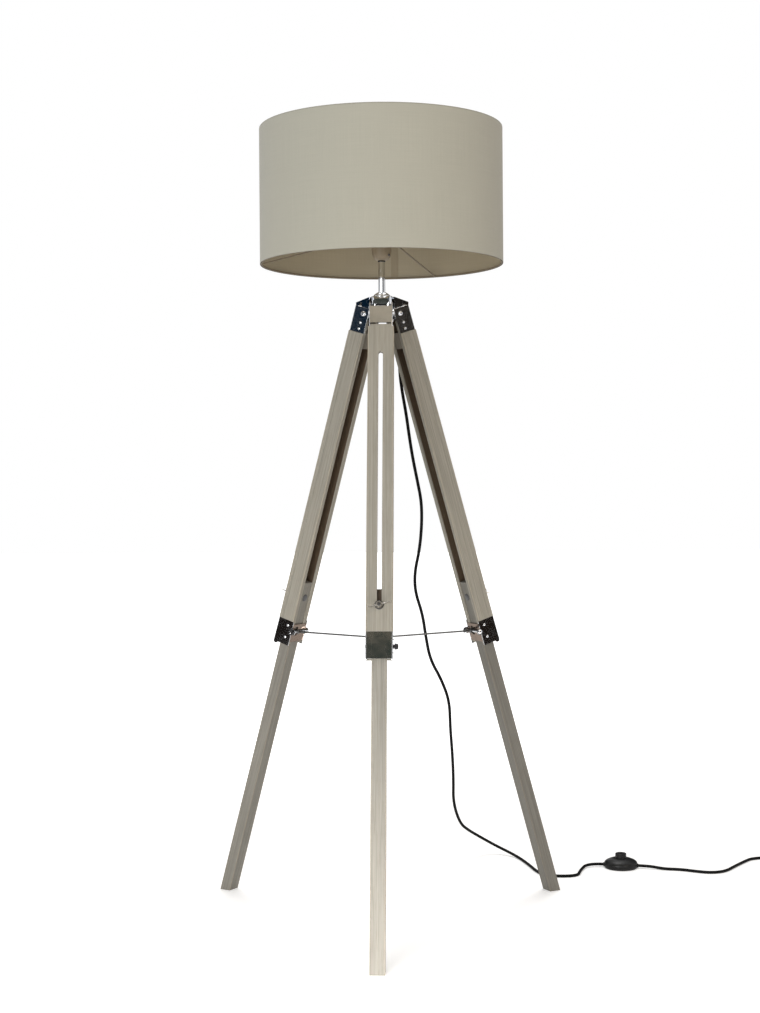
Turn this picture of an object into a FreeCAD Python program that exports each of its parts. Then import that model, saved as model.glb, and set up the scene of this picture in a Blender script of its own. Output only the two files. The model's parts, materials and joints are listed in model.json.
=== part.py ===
"""Tripod floor lamp with a drum shade, telescopic wooden legs and a fold-in brace.

Millimetres. +Z is up and the floor is z = 0. The front leg points along -Y. The origin is the
middle of the lamp's own box on the floor, so the lamp's axis stands a little behind it.
"""

import FreeCAD, Part

import math
import os
import re

import Sketcher

# Driving dimensions: name, value, meaning. Every other size is worked out from these.
SIZES = [
    ("shade_radius", 225.0, "outer radius of the drum shade"),
    ("shade_tall", 250.0, "height of the drum shade"),
    ("shade_wall", 1.2, "laminated cloth wall of the shade"),
    ("shade_hang", 51.0, "shade's bottom edge below the fitter ring"),
    ("wire_radius", 1.6, "wire of the shade's two rings"),
    ("wire_seat", 0.2, "gap between a ring and the shade's wall"),
    ("spoke_radius", 1.5, "wire of the three spokes"),
    ("fitter_rise", 6.0, "fitter ring above the lamp holder's waist"),
    ("fitter_bore", 19.8, "inner radius of the fitter ring"),
    ("fitter_reach", 30.0, "outer radius of the fitter ring"),
    ("fitter_thick", 2.0, "thickness of the fitter ring"),
    ("holder_radius", 19.5, "outer radius of the lamp holder's body"),
    ("holder_wall", 2.2, "wall of the lamp holder"),
    ("cap_tall", 38.0, "height of the lamp holder's cap"),
    ("body_tall", 44.0, "height of the lamp holder's body"),
    ("holder_neck", 7.0, "radius of the cap's neck"),
    ("holder_bowl", 14.0, "height of the cap's rounded bottom"),
    ("holder_floor", 12.0, "depth of the body's floor above the waist"),
    ("clamp_thick", 4.0, "thickness of a shade clamp ring"),
    ("clamp_reach", 25.5, "outer radius of a shade clamp ring"),
    ("socket_bore", 13.5, "inner radius of the screw shell"),
    ("socket_wall", 0.6, "wall of the screw shell"),
    ("socket_tall", 27.0, "height of the screw shell"),
    ("socket_floor", 3.5, "insulating floor of the screw shell"),
    ("screw_radius", 2.4, "head of a small screw"),
    ("screw_head", 1.3, "height of a small screw's head"),
    ("grip_length", 6.0, "length of the cord grip screw"),
    ("stem_radius", 6.2, "outer radius of the stem tube"),
    ("stem_tall", 63.6, "length of the stem tube"),
    ("nipple_radius", 5.0, "threaded tube inside the stem"),
    ("nipple_bore", 3.6, "bore of the threaded tube"),
    ("nut_radius", 8.2, "corner radius of the nut under the hub"),
    ("nut_tall", 4.0, "height of the nut under the hub"),
    ("lock_tall", 2.4, "height of the dark lock ring under the holder"),
    ("collar_radius", 14.8, "radius of the domed collar"),
    ("collar_tall", 7.0, "height of the domed collar"),
    ("collar_neck", 8.6, "top radius of the domed collar"),
    ("hub_radius", 19.5, "radius of the hub's cup"),
    ("hub_tall", 15.0, "height of the hub's cup"),
    ("hub_rise", 32.0, "hub's top face above the pivots"),
    ("hub_wall", 3.0, "wall of the hub's cup"),
    ("arm_reach", 60.0, "radius at the tip of a hub arm"),
    ("arm_wide", 30.0, "width of a hub arm"),
    ("arm_thick", 4.0, "thickness of a hub arm"),
    ("arm_drop", 9.0, "fall of a hub arm from the cup to its tip"),
    ("ear_thick", 4.0, "thickness of a hinge ear under a hub arm"),
    ("ear_radius", 8.0, "rounded end of a hinge ear"),
    ("pivot_out", 27.2, "distance of a leg's pivot from the lamp's axis"),
    ("pivot_high", 1112.0, "height of a leg's pivot"),
    ("pivot_radius", 3.0, "shank of the pivot bolt"),
    ("pivot_head", 4.6, "radius of the pivot bolt's head"),
    ("pivot_head_tall", 3.0, "height of the pivot bolt's head"),
    ("bush_radius", 5.5, "radius of the bushes beside the ears"),
    ("running", 0.05, "radial clearance of a running fit"),
    ("seat", 0.3, "clearance between neighbours"),
    ("tilt", 16.88, "lean of a leg from upright, in degrees"),
    ("upper_wide", 46.7, "width of an upper leg"),
    ("upper_deep", 33.0, "depth of an upper leg"),
    ("front_deep", 22.0, "outer face of a leg from its pivot"),
    ("board_thick", 9.0, "thickness of the slotted front board"),
    ("board_top", 32.0, "top of the front board below the pivot"),
    ("rail_top", 12.0, "top of the side rails below the pivot"),
    ("upper_low", 645.0, "bottom of the upper leg below the pivot"),
    ("slot_wide", 8.2, "width of the slot"),
    ("slot_top", 85.0, "top of the slot below the pivot"),
    ("slot_low", 558.0, "bottom of the slot below the pivot"),
    ("lower_wide", 26.0, "width of a lower leg"),
    ("lower_deep", 22.0, "depth of a lower leg"),
    ("lower_over", 30.0, "lower leg above its clamp bolt"),
    ("bolt_radius", 3.0, "shank of the clamp bolt"),
    ("bolt_head", 7.0, "radius of the clamp bolt's head"),
    ("bolt_head_tall", 1.6, "height of the clamp bolt's head"),
    ("bolt_proud", 12.5, "clamp bolt beyond the front board"),
    ("washer_radius", 8.0, "washer under the wing nut"),
    ("washer_thick", 1.2, "thickness of that washer"),
    ("wing_boss", 6.4, "radius of the wing nut's boss"),
    ("wing_boss_tall", 8.0, "height of the wing nut's boss"),
    ("wing_span", 20.0, "reach of a wing from the bolt"),
    ("wing_thick", 2.0, "thickness of a wing"),
    ("wing_tall", 9.0, "height of a wing at its tip"),
    ("wing_turn", 13.0, "turn of the wings from level, in degrees"),
    ("cap_wide", 42.5, "width of the top bracket"),
    ("cap_sheet", 2.0, "sheet of the top bracket"),
    ("cap_front_top", 4.0, "front plate above the pivot"),
    ("cap_front_low", 29.0, "front plate's bottom below the pivot"),
    ("cap_side_top", 11.0, "side plates above the pivot"),
    ("cap_side_low", 36.0, "side plates' bottom below the pivot"),
    ("cuff_sheet", 1.5, "sheet of the lower bracket"),
    ("cuff_tall", 47.0, "height of the lower bracket"),
    ("cuff_proud", 2.0, "side plates behind the wood"),
    ("cuff_lip", 2.4, "rounded ends below the lower bracket"),
    ("lug_radius", 6.0, "rounded lug round the brace pin"),
    ("pin_radius", 2.5, "brace pin"),
    ("pin_deep", 15.0, "brace pin behind the pivot's plane"),
    ("pin_low", 619.6, "brace pin below the pivot"),
    ("pin_head", 4.5, "radius of the brace pin's head"),
    ("pin_head_tall", 2.6, "height of the brace pin's head"),
    ("knob_radius", 5.6, "radius of the brace pin's knurled nut"),
    ("knob_neck", 3.8, "radius of the nut's neck"),
    ("knob_tall", 9.0, "length of the nut"),
    ("brace_radius", 1.6, "brace rod"),
    ("brace_eye", 5.0, "outer radius of a brace rod's eye"),
    ("brace_eye_wide", 5.0, "width of a brace rod's eye"),
    ("ferrule_radius", 3.0, "ferrule behind the eye"),
    ("ferrule_out", 15.0, "far end of the ferrule from the pin"),
    ("brace_aside", 7.0, "offset of a brace rod from the lamp's axis"),
    ("brace_short", 6.0, "brace rod's end short of the lamp's axis"),
    ("brace_fall", 2.74, "brace rods' inner ends below their pins"),
    ("plate_radius", 12.0, "brace plate"),
    ("plate_thick", 2.5, "thickness of the brace plate"),
    ("plate_gap", 0.3, "brace plate above the rods' ends"),
    ("gland_radius", 4.2, "body of the cord gland"),
    ("gland_flange", 5.4, "flange of the cord gland"),
    ("gland_flange_thick", 1.6, "thickness of that flange"),
    ("gland_tip", 3.4, "outer end of the cord gland"),
    ("gland_out", 37.0, "outer end of the gland from the lamp's axis"),
    ("gland_drop", 9.5, "cord gland below the hub's top face"),
    ("cord_radius", 3.0, "mains cord"),
    ("switch_radius", 34.0, "foot switch"),
    ("switch_base_tall", 6.0, "height of the switch's base"),
    ("switch_tall", 20.0, "height of the switch's cover"),
    ("switch_rim", 11.0, "height where the cover starts to round"),
    ("switch_wall", 2.4, "wall of the switch's cover"),
    ("button_radius", 11.4, "button of the foot switch"),
    ("button_proud", 10.0, "button above the cover"),
    ("button_skirt", 3.0, "wider foot of the button under the cover"),
    ("boss_radius", 4.6, "cord boss at the switch"),
    ("boss_out", 36.0, "end of a cord boss from the switch's middle"),
    ("cord_high", 5.5, "height of the cord at the switch"),
    ("lead_in", 33.0, "cord in line with the switch before it"),
    ("lead_out", 24.0, "cord in line with the switch after it"),
    ("sleeve_tip", 3.5, "thin end of the plug's sleeve"),
    ("sleeve_root", 4.6, "thick end of the plug's sleeve"),
    ("sleeve_long", 24.0, "length of the plug's sleeve"),
    ("plug_long", 46.0, "length of the plug"),
    ("plug_wide", 48.0, "width of the plug"),
    ("plug_tall", 22.0, "height of the plug on its back"),
    ("plug_nose", 15.0, "width of the plug's narrow end"),
    ("pin_tall", 18.0, "length of a plug pin"),
    ("blade_wide", 6.4, "width of a plug pin"),
    ("blade_thick", 4.0, "thickness of a plug pin"),
    ("earth_wide", 8.0, "length of the earth pin's section"),
    ("pin_spacing", 22.0, "distance between the two side pins"),
    ("earth_ahead", 22.0, "earth pin ahead of the two side pins"),
    ("coil_radius", 36.0, "middle of the coil's outer turn"),
    ("coil_pitch", 6.8, "step from turn to turn and from layer to layer"),
    ("overrun", 5.0, "cuts run past the stock by this much"),
]

# Heights above the floor, each built up from the pivots' height: name, sum, meaning.
HEIGHTS = [
    ("hub_top", "pivot_high + hub_rise", "the hub's top face"),
    ("gland_high", "hub_top - gland_drop", "middle of the cord gland"),
    ("holder_low", "hub_top + stem_tall + lock_tall", "bottom of the lamp holder's cap"),
    ("holder_waist", "holder_low + cap_tall", "joint between the holder's cap and body"),
    ("holder_top", "holder_waist + body_tall", "top of the lamp holder's body"),
    ("spoke_top", "holder_waist + fitter_rise", "underside of the fitter ring"),
    ("shade_low", "spoke_top - shade_hang", "the shade's bottom edge"),
    ("brace_low", "pivot_high - pin_low * cos(tilt * 1 deg) - pin_deep * sin(tilt * 1 deg) - brace_fall",
     "the brace rods' inner ends"),
]

VALUE = {name: value for name, value, _ in SIZES}
LEGS = [("front", -90.0), ("right", 30.0), ("left", 150.0)]
WORD = re.compile(r"[a-z][a-z_]*")

doc = FreeCAD.newDocument("floor_lamp")
sheet = doc.addObject("Spreadsheet::Sheet", "Sizes")
for row, (alias, value, meaning) in enumerate(SIZES + HEIGHTS, start=1):
    sheet.set("A%d" % row, meaning)
    sheet.set("B%d" % row, "=" + value if isinstance(value, str) else repr(value))
    sheet.setAlias("B%d" % row, alias)
    doc.recompute()
VALUE.update({alias: float(sheet.get(alias)) for alias, _, _ in HEIGHTS})

parts = []


def formula(text):
    """Write a sum of size names so that it reads the sheet."""
    return WORD.sub(lambda word: "Sizes." + word[0] if word[0] in VALUE else word[0], text)


def number(text):
    """Work out a sum of size names as a plain number."""
    result = sheet.evalExpression(formula(text))
    return float(getattr(result, "Value", result))


def point(across, deep, high):
    """Turn three sums of size names into a vector."""
    return FreeCAD.Vector(number(across), number(deep), number(high))


def bind(item, **sums):
    """Bind an object's properties to sums of size names."""
    for name, text in sums.items():
        item.setExpression(name, formula(text))


def move_to(item, across, deep, high):
    """Bind an object's place to three sums of size names."""
    for axis, text in zip("xyz", (across, deep, high)):
        item.setExpression("Placement.Base." + axis, formula(text))


def box(name, across, deep, high):
    """Block between two sums along each axis, each given as a pair."""
    item = doc.addObject("Part::Box", name)
    bind(item, Length="(%s) - (%s)" % across[::-1], Width="(%s) - (%s)" % deep[::-1])
    bind(item, Height="(%s) - (%s)" % high[::-1])
    move_to(item, across[0], deep[0], high[0])
    return item


Z_AXIS = FreeCAD.Vector(0, 0, 1)
UPWARD = FreeCAD.Rotation()
ALONG_X = FreeCAD.Rotation(FreeCAD.Vector(0, 1, 0), 90)
ALONG_Y = FreeCAD.Rotation(FreeCAD.Vector(1, 0, 0), -90)


def disc(name, radius, length, place, turn=UPWARD, top=None):
    """Cylinder, or cone where a top radius is given, from its base's middle along one axis."""
    if top is None:
        item = doc.addObject("Part::Cylinder", name)
        bind(item, Radius=radius, Height=length)
    else:
        item = doc.addObject("Part::Cone", name)
        bind(item, Radius1=radius, Radius2=top, Height=length)
    item.Placement = FreeCAD.Placement(FreeCAD.Vector(), turn)
    move_to(item, *place)
    return item


def fuse(name, *items):
    """Join several objects into one."""
    item = doc.addObject("Part::MultiFuse", name)
    item.Shapes = list(items)
    item.Refine = True
    return item


def cut(name, stock, *tools):
    """Cut tools out of a piece of stock."""
    item = doc.addObject("Part::Cut", name)
    item.Base = stock
    item.Tool = tools[0] if len(tools) == 1 else fuse(name + "_tools", *tools)
    return item


def sketch_in(body, role, name, outline):
    """Closed sketch on one of a body's planes, its corners bound to sums of size names."""
    sketch = body.newObject("Sketcher::SketchObject", name)
    plane = [flat for flat in body.Origin.OriginFeatures if flat.Role == role][0]
    sketch.AttachmentSupport = (plane, [""])
    sketch.MapMode = "FlatFace"
    corners = [FreeCAD.Vector(number(across), number(up), 0) for across, up in outline]
    count = len(corners)
    for index in range(count):
        sketch.addGeometry(Part.LineSegment(corners[index], corners[(index + 1) % count]), False)
    for index in range(count):
        sketch.addConstraint(Sketcher.Constraint("Coincident", index, 2, (index + 1) % count, 1))
    for index, (across, up) in enumerate(outline):
        for kind, text, value, axis in (("DistanceX", across, corners[index].x, -2),
                                        ("DistanceY", up, corners[index].y, -1)):
            if text == "0":
                sketch.addConstraint(Sketcher.Constraint("PointOnObject", index, 1, axis))
            else:
                rule = sketch.addConstraint(Sketcher.Constraint(kind, -1, 1, index, 1, value))
                sketch.setExpression("Constraints[%d]" % rule, formula(text))
    return sketch


def turned(name, outline):
    """Body turned about the Z axis from an outline of radius and height."""
    body = doc.addObject("PartDesign::Body", name)
    sketch = sketch_in(body, "XZ_Plane", name + "_outline", outline)
    turn = body.newObject("PartDesign::Revolution", name + "_turn")
    turn.Profile = sketch
    turn.ReferenceAxis = (sketch, ["V_Axis"])
    turn.Angle = 360
    return body


def ring(name, radius, wire, high):
    """Ring of round wire about the Z axis."""
    body = doc.addObject("PartDesign::Body", name)
    sketch = sketch_in(body, "XZ_Plane", name + "_section", [])
    middle = FreeCAD.Vector(number(radius), number(high), 0)
    sketch.addGeometry(Part.Circle(middle, Z_AXIS, number(wire)), False)
    for kind, text in (("DistanceX", radius), ("DistanceY", high)):
        rule = sketch.addConstraint(Sketcher.Constraint(kind, -1, 1, 0, 3, number(text)))
        sketch.setExpression("Constraints[%d]" % rule, formula(text))
    rule = sketch.addConstraint(Sketcher.Constraint("Radius", 0, number(wire)))
    sketch.setExpression("Constraints[%d]" % rule, formula(wire))
    turn = body.newObject("PartDesign::Revolution", name + "_turn")
    turn.Profile = sketch
    turn.ReferenceAxis = (sketch, ["V_Axis"])
    turn.Angle = 360
    return body


def plated(name, role, outline, thick, middle=True):
    """Body padded from an outline, evenly to both sides of its plane or to one side."""
    body = doc.addObject("PartDesign::Body", name)
    sketch = sketch_in(body, role, name + "_outline", outline)
    pad = body.newObject("PartDesign::Pad", name + "_pad")
    pad.Profile = sketch
    bind(pad, Length=thick)
    if middle:
        pad.SideType = "Symmetric"
    return body


def rounded(body, name, radius, wanted):
    """Round the edges of a body's tip that a test picks out."""
    doc.recompute()
    tip = body.Tip
    edges = ["Edge%d" % (index + 1) for index, edge in enumerate(tip.Shape.Edges) if wanted(edge)]
    fillet = body.newObject("PartDesign::Fillet", name)
    fillet.Base = (tip, edges)
    bind(fillet, Radius=radius)
    body.Tip = fillet
    return body


def at_height(text, least_radius="0"):
    """Test for a round edge at one height, wider than a least radius."""
    high = number(text)
    least = number(least_radius)

    def wanted(edge):
        """Tell whether an edge is a circle at that height."""
        curve = edge.Curve
        level = abs(edge.BoundBox.ZMin - high) + abs(edge.BoundBox.ZMax - high) < VALUE["running"]
        return isinstance(curve, Part.Circle) and level and curve.Radius > least

    return wanted


def part(label, item, place=None):
    """Keep an object as a finished sub-part under its label and in its place."""
    item.Label = label
    item.Placement = (place or LAMP_PLACE) * item.Placement
    parts.append(item)
    return item


def loose(label, shape, place=None):
    """Keep a shape that no primitive or body can make as a finished sub-part."""
    item = doc.addObject("Part::Feature", label)
    item.Shape = shape
    item.Placement = place or LAMP_PLACE
    item.Label = label
    parts.append(item)
    return item


# The lamp's axis, behind the middle of the lamp's box by half of what the shade leaves over.
LEAN = math.radians(VALUE["tilt"])
BOARD_BACK = VALUE["front_deep"] - VALUE["board_thick"]
FOOT_DEEP = BOARD_BACK - VALUE["seat"]
LEG_DROP = (VALUE["pivot_high"] + FOOT_DEEP * math.sin(LEAN)) / math.cos(LEAN)
FOOT_REACH = VALUE["pivot_out"] + FOOT_DEEP * math.cos(LEAN) + LEG_DROP * math.sin(LEAN)
LAMP_Y = (FOOT_REACH - VALUE["shade_radius"]) / 2
LAMP_PLACE = FreeCAD.Placement(FreeCAD.Vector(0, LAMP_Y, 0), FreeCAD.Rotation())


def leg_place(bearing):
    """Frame of a leg: origin at its pivot, X across, Y inward, Z up along the leaning leg."""
    swing = FreeCAD.Placement(FreeCAD.Vector(), FreeCAD.Rotation(Z_AXIS, bearing + 90))
    out = FreeCAD.Vector(0, -VALUE["pivot_out"], VALUE["pivot_high"])
    lean = FreeCAD.Placement(out, FreeCAD.Rotation(FreeCAD.Vector(1, 0, 0), -VALUE["tilt"]))
    return LAMP_PLACE * swing * lean


def radial_place(bearing):
    """Frame at the lamp's axis with -Y turned to a bearing."""
    swing = FreeCAD.Placement(FreeCAD.Vector(), FreeCAD.Rotation(Z_AXIS, bearing + 90))
    return LAMP_PLACE * swing


# Shade: a cloth drum on two wire rings, the lower one carried by three spokes.
def shade():
    """Drum, top ring and the lower ring with its spokes and fitter."""
    inner = "shade_radius - shade_wall"
    top = "shade_low + shade_tall"
    drum = turned("shade_drum", [(inner, "shade_low"), ("shade_radius", "shade_low"),
                                 ("shade_radius", top), (inner, top)])
    part("shade_drum", drum)
    middle = "shade_radius - shade_wall - wire_seat - wire_radius"
    part("shade_top_ring", ring("top_ring", middle, "wire_radius", top + " - wire_radius"))
    low = "shade_low + wire_radius"
    rim = ring("low_ring", middle, "wire_radius", low)
    band = cut("fitter", disc("fitter_disc", "fitter_reach", "fitter_thick", ("0", "0", "spoke_top")),
               disc("fitter_hole", "fitter_bore", "fitter_thick + 2 * overrun",
                    ("0", "0", "spoke_top - overrun")))
    start = point("fitter_reach - spoke_radius", "0", "spoke_top + fitter_thick / 2")
    end = point(middle, "0", low)
    spokes = []
    for index in range(3):
        spoke = doc.addObject("Part::Cylinder", "spoke_%d" % index)
        bind(spoke, Radius="spoke_radius")
        spoke.Height = (end - start).Length
        lie = FreeCAD.Placement(start, FreeCAD.Rotation(Z_AXIS, end - start))
        swing = FreeCAD.Rotation(Z_AXIS, SPOKE_BEARING + index * 120)
        spoke.Placement = FreeCAD.Placement(FreeCAD.Vector(), swing) * lie
        spokes.append(spoke)
    part("shade_spider", fuse("spider", rim, band, *spokes))


SPOKE_BEARING = 64.0


# Lamp holder: cap, threaded body, two clamp rings, screw shell with its contact, grip screw.
def lamp_holder():
    """Cap, body, clamp rings, screw shell and cord grip screw."""
    slope = "holder_low + holder_bowl"
    skin = "holder_radius - holder_wall"
    cap = turned("holder_cap", [("nipple_radius + running", "holder_low"), ("holder_neck", "holder_low"),
                                ("holder_radius - holder_wall / 2", slope),
                                ("holder_radius", "holder_waist"), (skin, "holder_waist"),
                                (skin + " - holder_wall / 2", slope + " + holder_wall"),
                                ("nipple_radius + running", "holder_low + holder_wall")])
    high = "holder_low + holder_bowl + screw_radius + screw_head"
    inside = "holder_radius - grip_length"
    swing = FreeCAD.Placement(FreeCAD.Vector(), FreeCAD.Rotation(Z_AXIS, GRIP_BEARING))
    way = disc("grip_way", "screw_radius / 2 + running", "grip_length + overrun", (inside, "0", high),
               ALONG_X)
    part("lampholder_cap", cut("holder_shell", cap, way), LAMP_PLACE * swing)
    head = disc("grip_head", "screw_radius", "screw_head", ("holder_radius", "0", high), ALONG_X)
    shank = disc("grip_shank", "screw_radius / 2", "grip_length", (inside, "0", high), ALONG_X)
    part("cord_grip_screw", fuse("grip_screw", head, shank), LAMP_PLACE * swing)
    floor = "holder_waist + holder_floor"
    body = turned("holder_body", [("0", "holder_waist"), ("holder_radius", "holder_waist"),
                                  ("holder_radius", "holder_top"), (skin, "holder_top"),
                                  (skin, floor), ("0", floor)])
    part("lampholder_body", body)
    rings = []
    for name, low in (("lower", "spoke_top - clamp_thick"), ("upper", "spoke_top + fitter_thick")):
        blank = disc(name + "_clamp_disc", "clamp_reach", "clamp_thick", ("0", "0", low))
        hole = disc(name + "_clamp_hole", "holder_radius + running", "clamp_thick + 2 * overrun",
                    ("0", "0", low + " - overrun"))
        rings.append(cut(name + "_clamp", blank, hole))
    part("shade_clamp_rings", fuse("clamps", *rings))
    shell_out = "socket_bore + socket_wall"
    rise = floor + " + socket_tall"
    shell = turned("socket_shell", [("0", floor), (shell_out, floor), (shell_out, rise),
                                    ("socket_bore", rise), ("socket_bore", floor + " + socket_floor"),
                                    ("0", floor + " + socket_floor")])
    part("socket_shell", shell)


GRIP_BEARING = -35.0


# Stem: a threaded tube through a chrome tube, a dark ring above and a nut inside the hub.
def stem():
    """Chrome tube, threaded tube, lock ring, nut and domed collar."""
    low = "hub_top"
    tube_top = "holder_low - lock_tall"
    tube = turned("stem_tube", [("nipple_radius + running", low), ("stem_radius", low),
                                ("stem_radius", tube_top), ("nipple_radius + running", tube_top)])
    part("stem_tube", tube)
    foot = "hub_top - hub_wall - nut_tall - seat"
    tip = "holder_low + holder_wall + nut_tall"
    nipple = turned("nipple", [("nipple_bore", foot), ("nipple_radius", foot),
                               ("nipple_radius", tip), ("nipple_bore", tip)])
    part("threaded_tube", nipple)
    lock = turned("lock_ring", [("nipple_radius + running", tube_top), ("holder_neck", tube_top),
                                ("holder_neck", "holder_low"), ("nipple_radius + running", "holder_low")])
    part("lock_ring", lock)
    under = "hub_top - hub_wall - nut_tall"
    prism = doc.addObject("Part::Prism", "nut_prism")
    prism.Polygon = 6
    bind(prism, Circumradius="nut_radius", Height="nut_tall")
    move_to(prism, "0", "0", under)
    hole = disc("nut_hole", "nipple_radius + running", "nut_tall + 2 * overrun",
                ("0", "0", under + " - overrun"))
    part("hub_nut", cut("nut", prism, hole))
    neck = "stem_radius + running"
    collar = turned("collar", [(neck, "hub_top"), ("collar_radius", "hub_top"),
                               ("collar_radius", "hub_top + collar_tall / 3"),
                               ("(collar_radius + collar_neck) / 2", "hub_top + collar_tall * 4 / 5"),
                               ("collar_neck", "hub_top + collar_tall"), (neck, "hub_top + collar_tall")])
    part("hub_collar", collar)


# Hub: a cup with three sloping arms, each with two hinge ears for a leg.
def hub():
    """Cup, arms and ears as one casting."""
    roof = "hub_top - hub_wall"
    low = "hub_top - hub_tall"
    inside = "hub_radius - hub_wall"
    cup = turned("hub_cup", [("nipple_radius + running", "hub_top"), ("nipple_radius + running", roof),
                             (inside, roof), (inside, low), ("hub_radius", low),
                             ("hub_radius", "hub_top")])
    rounded(cup, "hub_cup_edge", "hub_wall / 3", at_height("hub_top", "hub_radius / 2"))
    pieces = [cup]
    near = "hub_radius - hub_wall / 2"
    for name, bearing in LEGS:
        arm = plated(name + "_arm", "YZ_Plane", [
            ("-(%s)" % near, "hub_top - hub_wall / 3"), ("-arm_reach", "hub_top - arm_drop"),
            ("-arm_reach", "hub_top - arm_drop - arm_thick"),
            ("-(%s)" % near, "hub_top - hub_wall / 3 - arm_thick")], "arm_wide")
        arm.Placement = FreeCAD.Placement(FreeCAD.Vector(), FreeCAD.Rotation(Z_AXIS, bearing + 90))
        pieces.append(arm)
        for side in (-1, 1):
            edge = "arm_wide / 2" if side > 0 else "-arm_wide / 2 + ear_thick"
            flat = (edge + " - ear_thick", edge)
            tag = "%s_ear_%s" % (name, "b" if side > 0 else "a")
            deep = ("-pivot_out - ear_radius", "-pivot_out + ear_radius")
            web = box(tag + "_web", flat, deep, ("pivot_high", "hub_top - arm_drop / 2 - seat"))
            tip = disc(tag + "_tip", "ear_radius", "ear_thick", (flat[0], "-pivot_out", "pivot_high"),
                       ALONG_X)
            bore = disc(tag + "_bore", "pivot_radius + running", "ear_thick + 2 * overrun",
                        (flat[0] + " - overrun", "-pivot_out", "pivot_high"), ALONG_X)
            ear = cut(tag, fuse(tag + "_blank", web, tip), bore)
            ear.Placement = FreeCAD.Placement(FreeCAD.Vector(), FreeCAD.Rotation(Z_AXIS, bearing + 90))
            pieces.append(ear)
    way = disc("gland_way", "gland_radius + running", "gland_out", ("0", "0", "gland_high"), ALONG_Y)
    part("hub", cut("hub_casting", fuse("hub_blank", *pieces), way))


def cord_gland():
    """Tapered bushing in the back of the hub's cup, where the cord comes out."""
    start = "hub_radius - hub_wall"
    root = disc("gland_root", "gland_radius", "hub_wall", ("0", start, "gland_high"), ALONG_Y)
    flange = disc("gland_collar", "gland_flange", "gland_flange_thick",
                  ("0", "hub_radius", "gland_high"), ALONG_Y)
    nose = disc("gland_nose", "gland_radius", "gland_out - hub_radius - gland_flange_thick",
                ("0", "hub_radius + gland_flange_thick", "gland_high"), ALONG_Y, top="gland_tip")
    part("cord_gland", fuse("gland", root, flange, nose))


# Upper leg: slotted front board, two side rails, chrome brackets at both ends.
BACK = "upper_deep - front_deep"
CHANNEL = "lower_wide / 2 + seat"
CUFF_TOP = "-upper_low - cuff_lip + cuff_tall"


def front_board(name):
    """Slotted board, rebated at the bottom for the lower bracket's front plate."""
    half = "upper_wide / 2"
    faces = ("-front_deep", "board_thick - front_deep")
    stock = box(name + "_board_stock", ("-" + half, half), faces, ("-upper_low", "-board_top"))
    low = "-slot_low + slot_wide / 2"
    high = "-slot_top - slot_wide / 2"
    through = ("-front_deep - overrun", "board_thick - front_deep + overrun")
    slot = box(name + "_slot", ("-slot_wide / 2", "slot_wide / 2"), through, (low, high))
    ends = [disc("%s_slot_end_%d" % (name, index), "slot_wide / 2", "board_thick + 2 * overrun",
                 ("0", through[0], level), ALONG_Y) for index, level in enumerate((low, high))]
    rebate = box(name + "_board_rebate", ("-%s - overrun" % half, half + " + overrun"),
                 ("-front_deep - overrun", "-front_deep + cuff_sheet + running"),
                 ("-upper_low - overrun", CUFF_TOP + " + running"))
    sides = []
    for tag, inner, levels in (
            ("cap", "cap_wide / 2 - cap_sheet - running", ("-cap_side_low - running", "overrun")),
            ("cuff", half + " - cuff_sheet - running",
             ("-upper_low - overrun", CUFF_TOP + " + running"))):
        for side, (near, far) in enumerate((("-%s - overrun" % half, "-(%s)" % inner),
                                            (inner, half + " + overrun"))):
            sides.append(box("%s_board_%s_%d" % (name, tag, side), (near, far), through, levels))
    return cut(name + "_board", stock, slot, rebate, *ends, *sides)


def side_rails(name):
    """The two rails behind the front board, rebated where the brackets lie flush."""
    rails = []
    for tag, sign in (("a", "-"), ("b", "")):
        inner = CHANNEL
        outer = "upper_wide / 2"
        deep = ("board_thick - front_deep", BACK)
        across = (sign + "(" + inner + ")", sign + "(" + outer + ")")
        if sign:
            across = across[::-1]
        stock = box("%s_rail_stock_%s" % (name, tag), across, deep, ("-upper_low", "-rail_top"))
        wide = ("-front_deep - overrun", BACK + " + overrun")
        notch = []
        for index, (depth, levels) in enumerate((
                ("cap_wide / 2 - cap_sheet - running", ("-cap_side_low - running", "overrun")),
                ("upper_wide / 2 - cuff_sheet - running",
                 ("-upper_low - overrun", CUFF_TOP + " + running")))):
            reach = (sign + "(" + depth + ")", sign + "(upper_wide / 2 + overrun)")
            if sign:
                reach = reach[::-1]
            notch.append(box("%s_rail_notch_%s_%d" % (name, tag, index), reach, wide, levels))
        rails.append(cut("%s_rail_%s" % (name, tag), stock, *notch))
    return fuse(name + "_rails", *rails)


def top_bracket(name):
    """Folded sheet: a short front plate and two longer side plates with the pivot's holes."""
    half = "cap_wide / 2"
    front = box(name + "_cap_front", ("-" + half, half), ("-front_deep", "-front_deep + cap_sheet"),
                ("-cap_front_low", "cap_front_top"))
    plates = []
    for tag, near in (("a", "-" + half), ("b", half + " - cap_sheet")):
        plates.append(box("%s_cap_side_%s" % (name, tag), (near, near + " + cap_sheet"),
                          ("-front_deep", BACK), ("-cap_side_low", "cap_side_top")))
    hole = disc(name + "_cap_hole", "pivot_radius + running", "cap_wide + 2 * overrun",
                ("-%s - overrun" % half, "0", "0"), ALONG_X)
    return cut(name + "_cap", fuse(name + "_cap_blank", front, *plates), hole)


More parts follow.
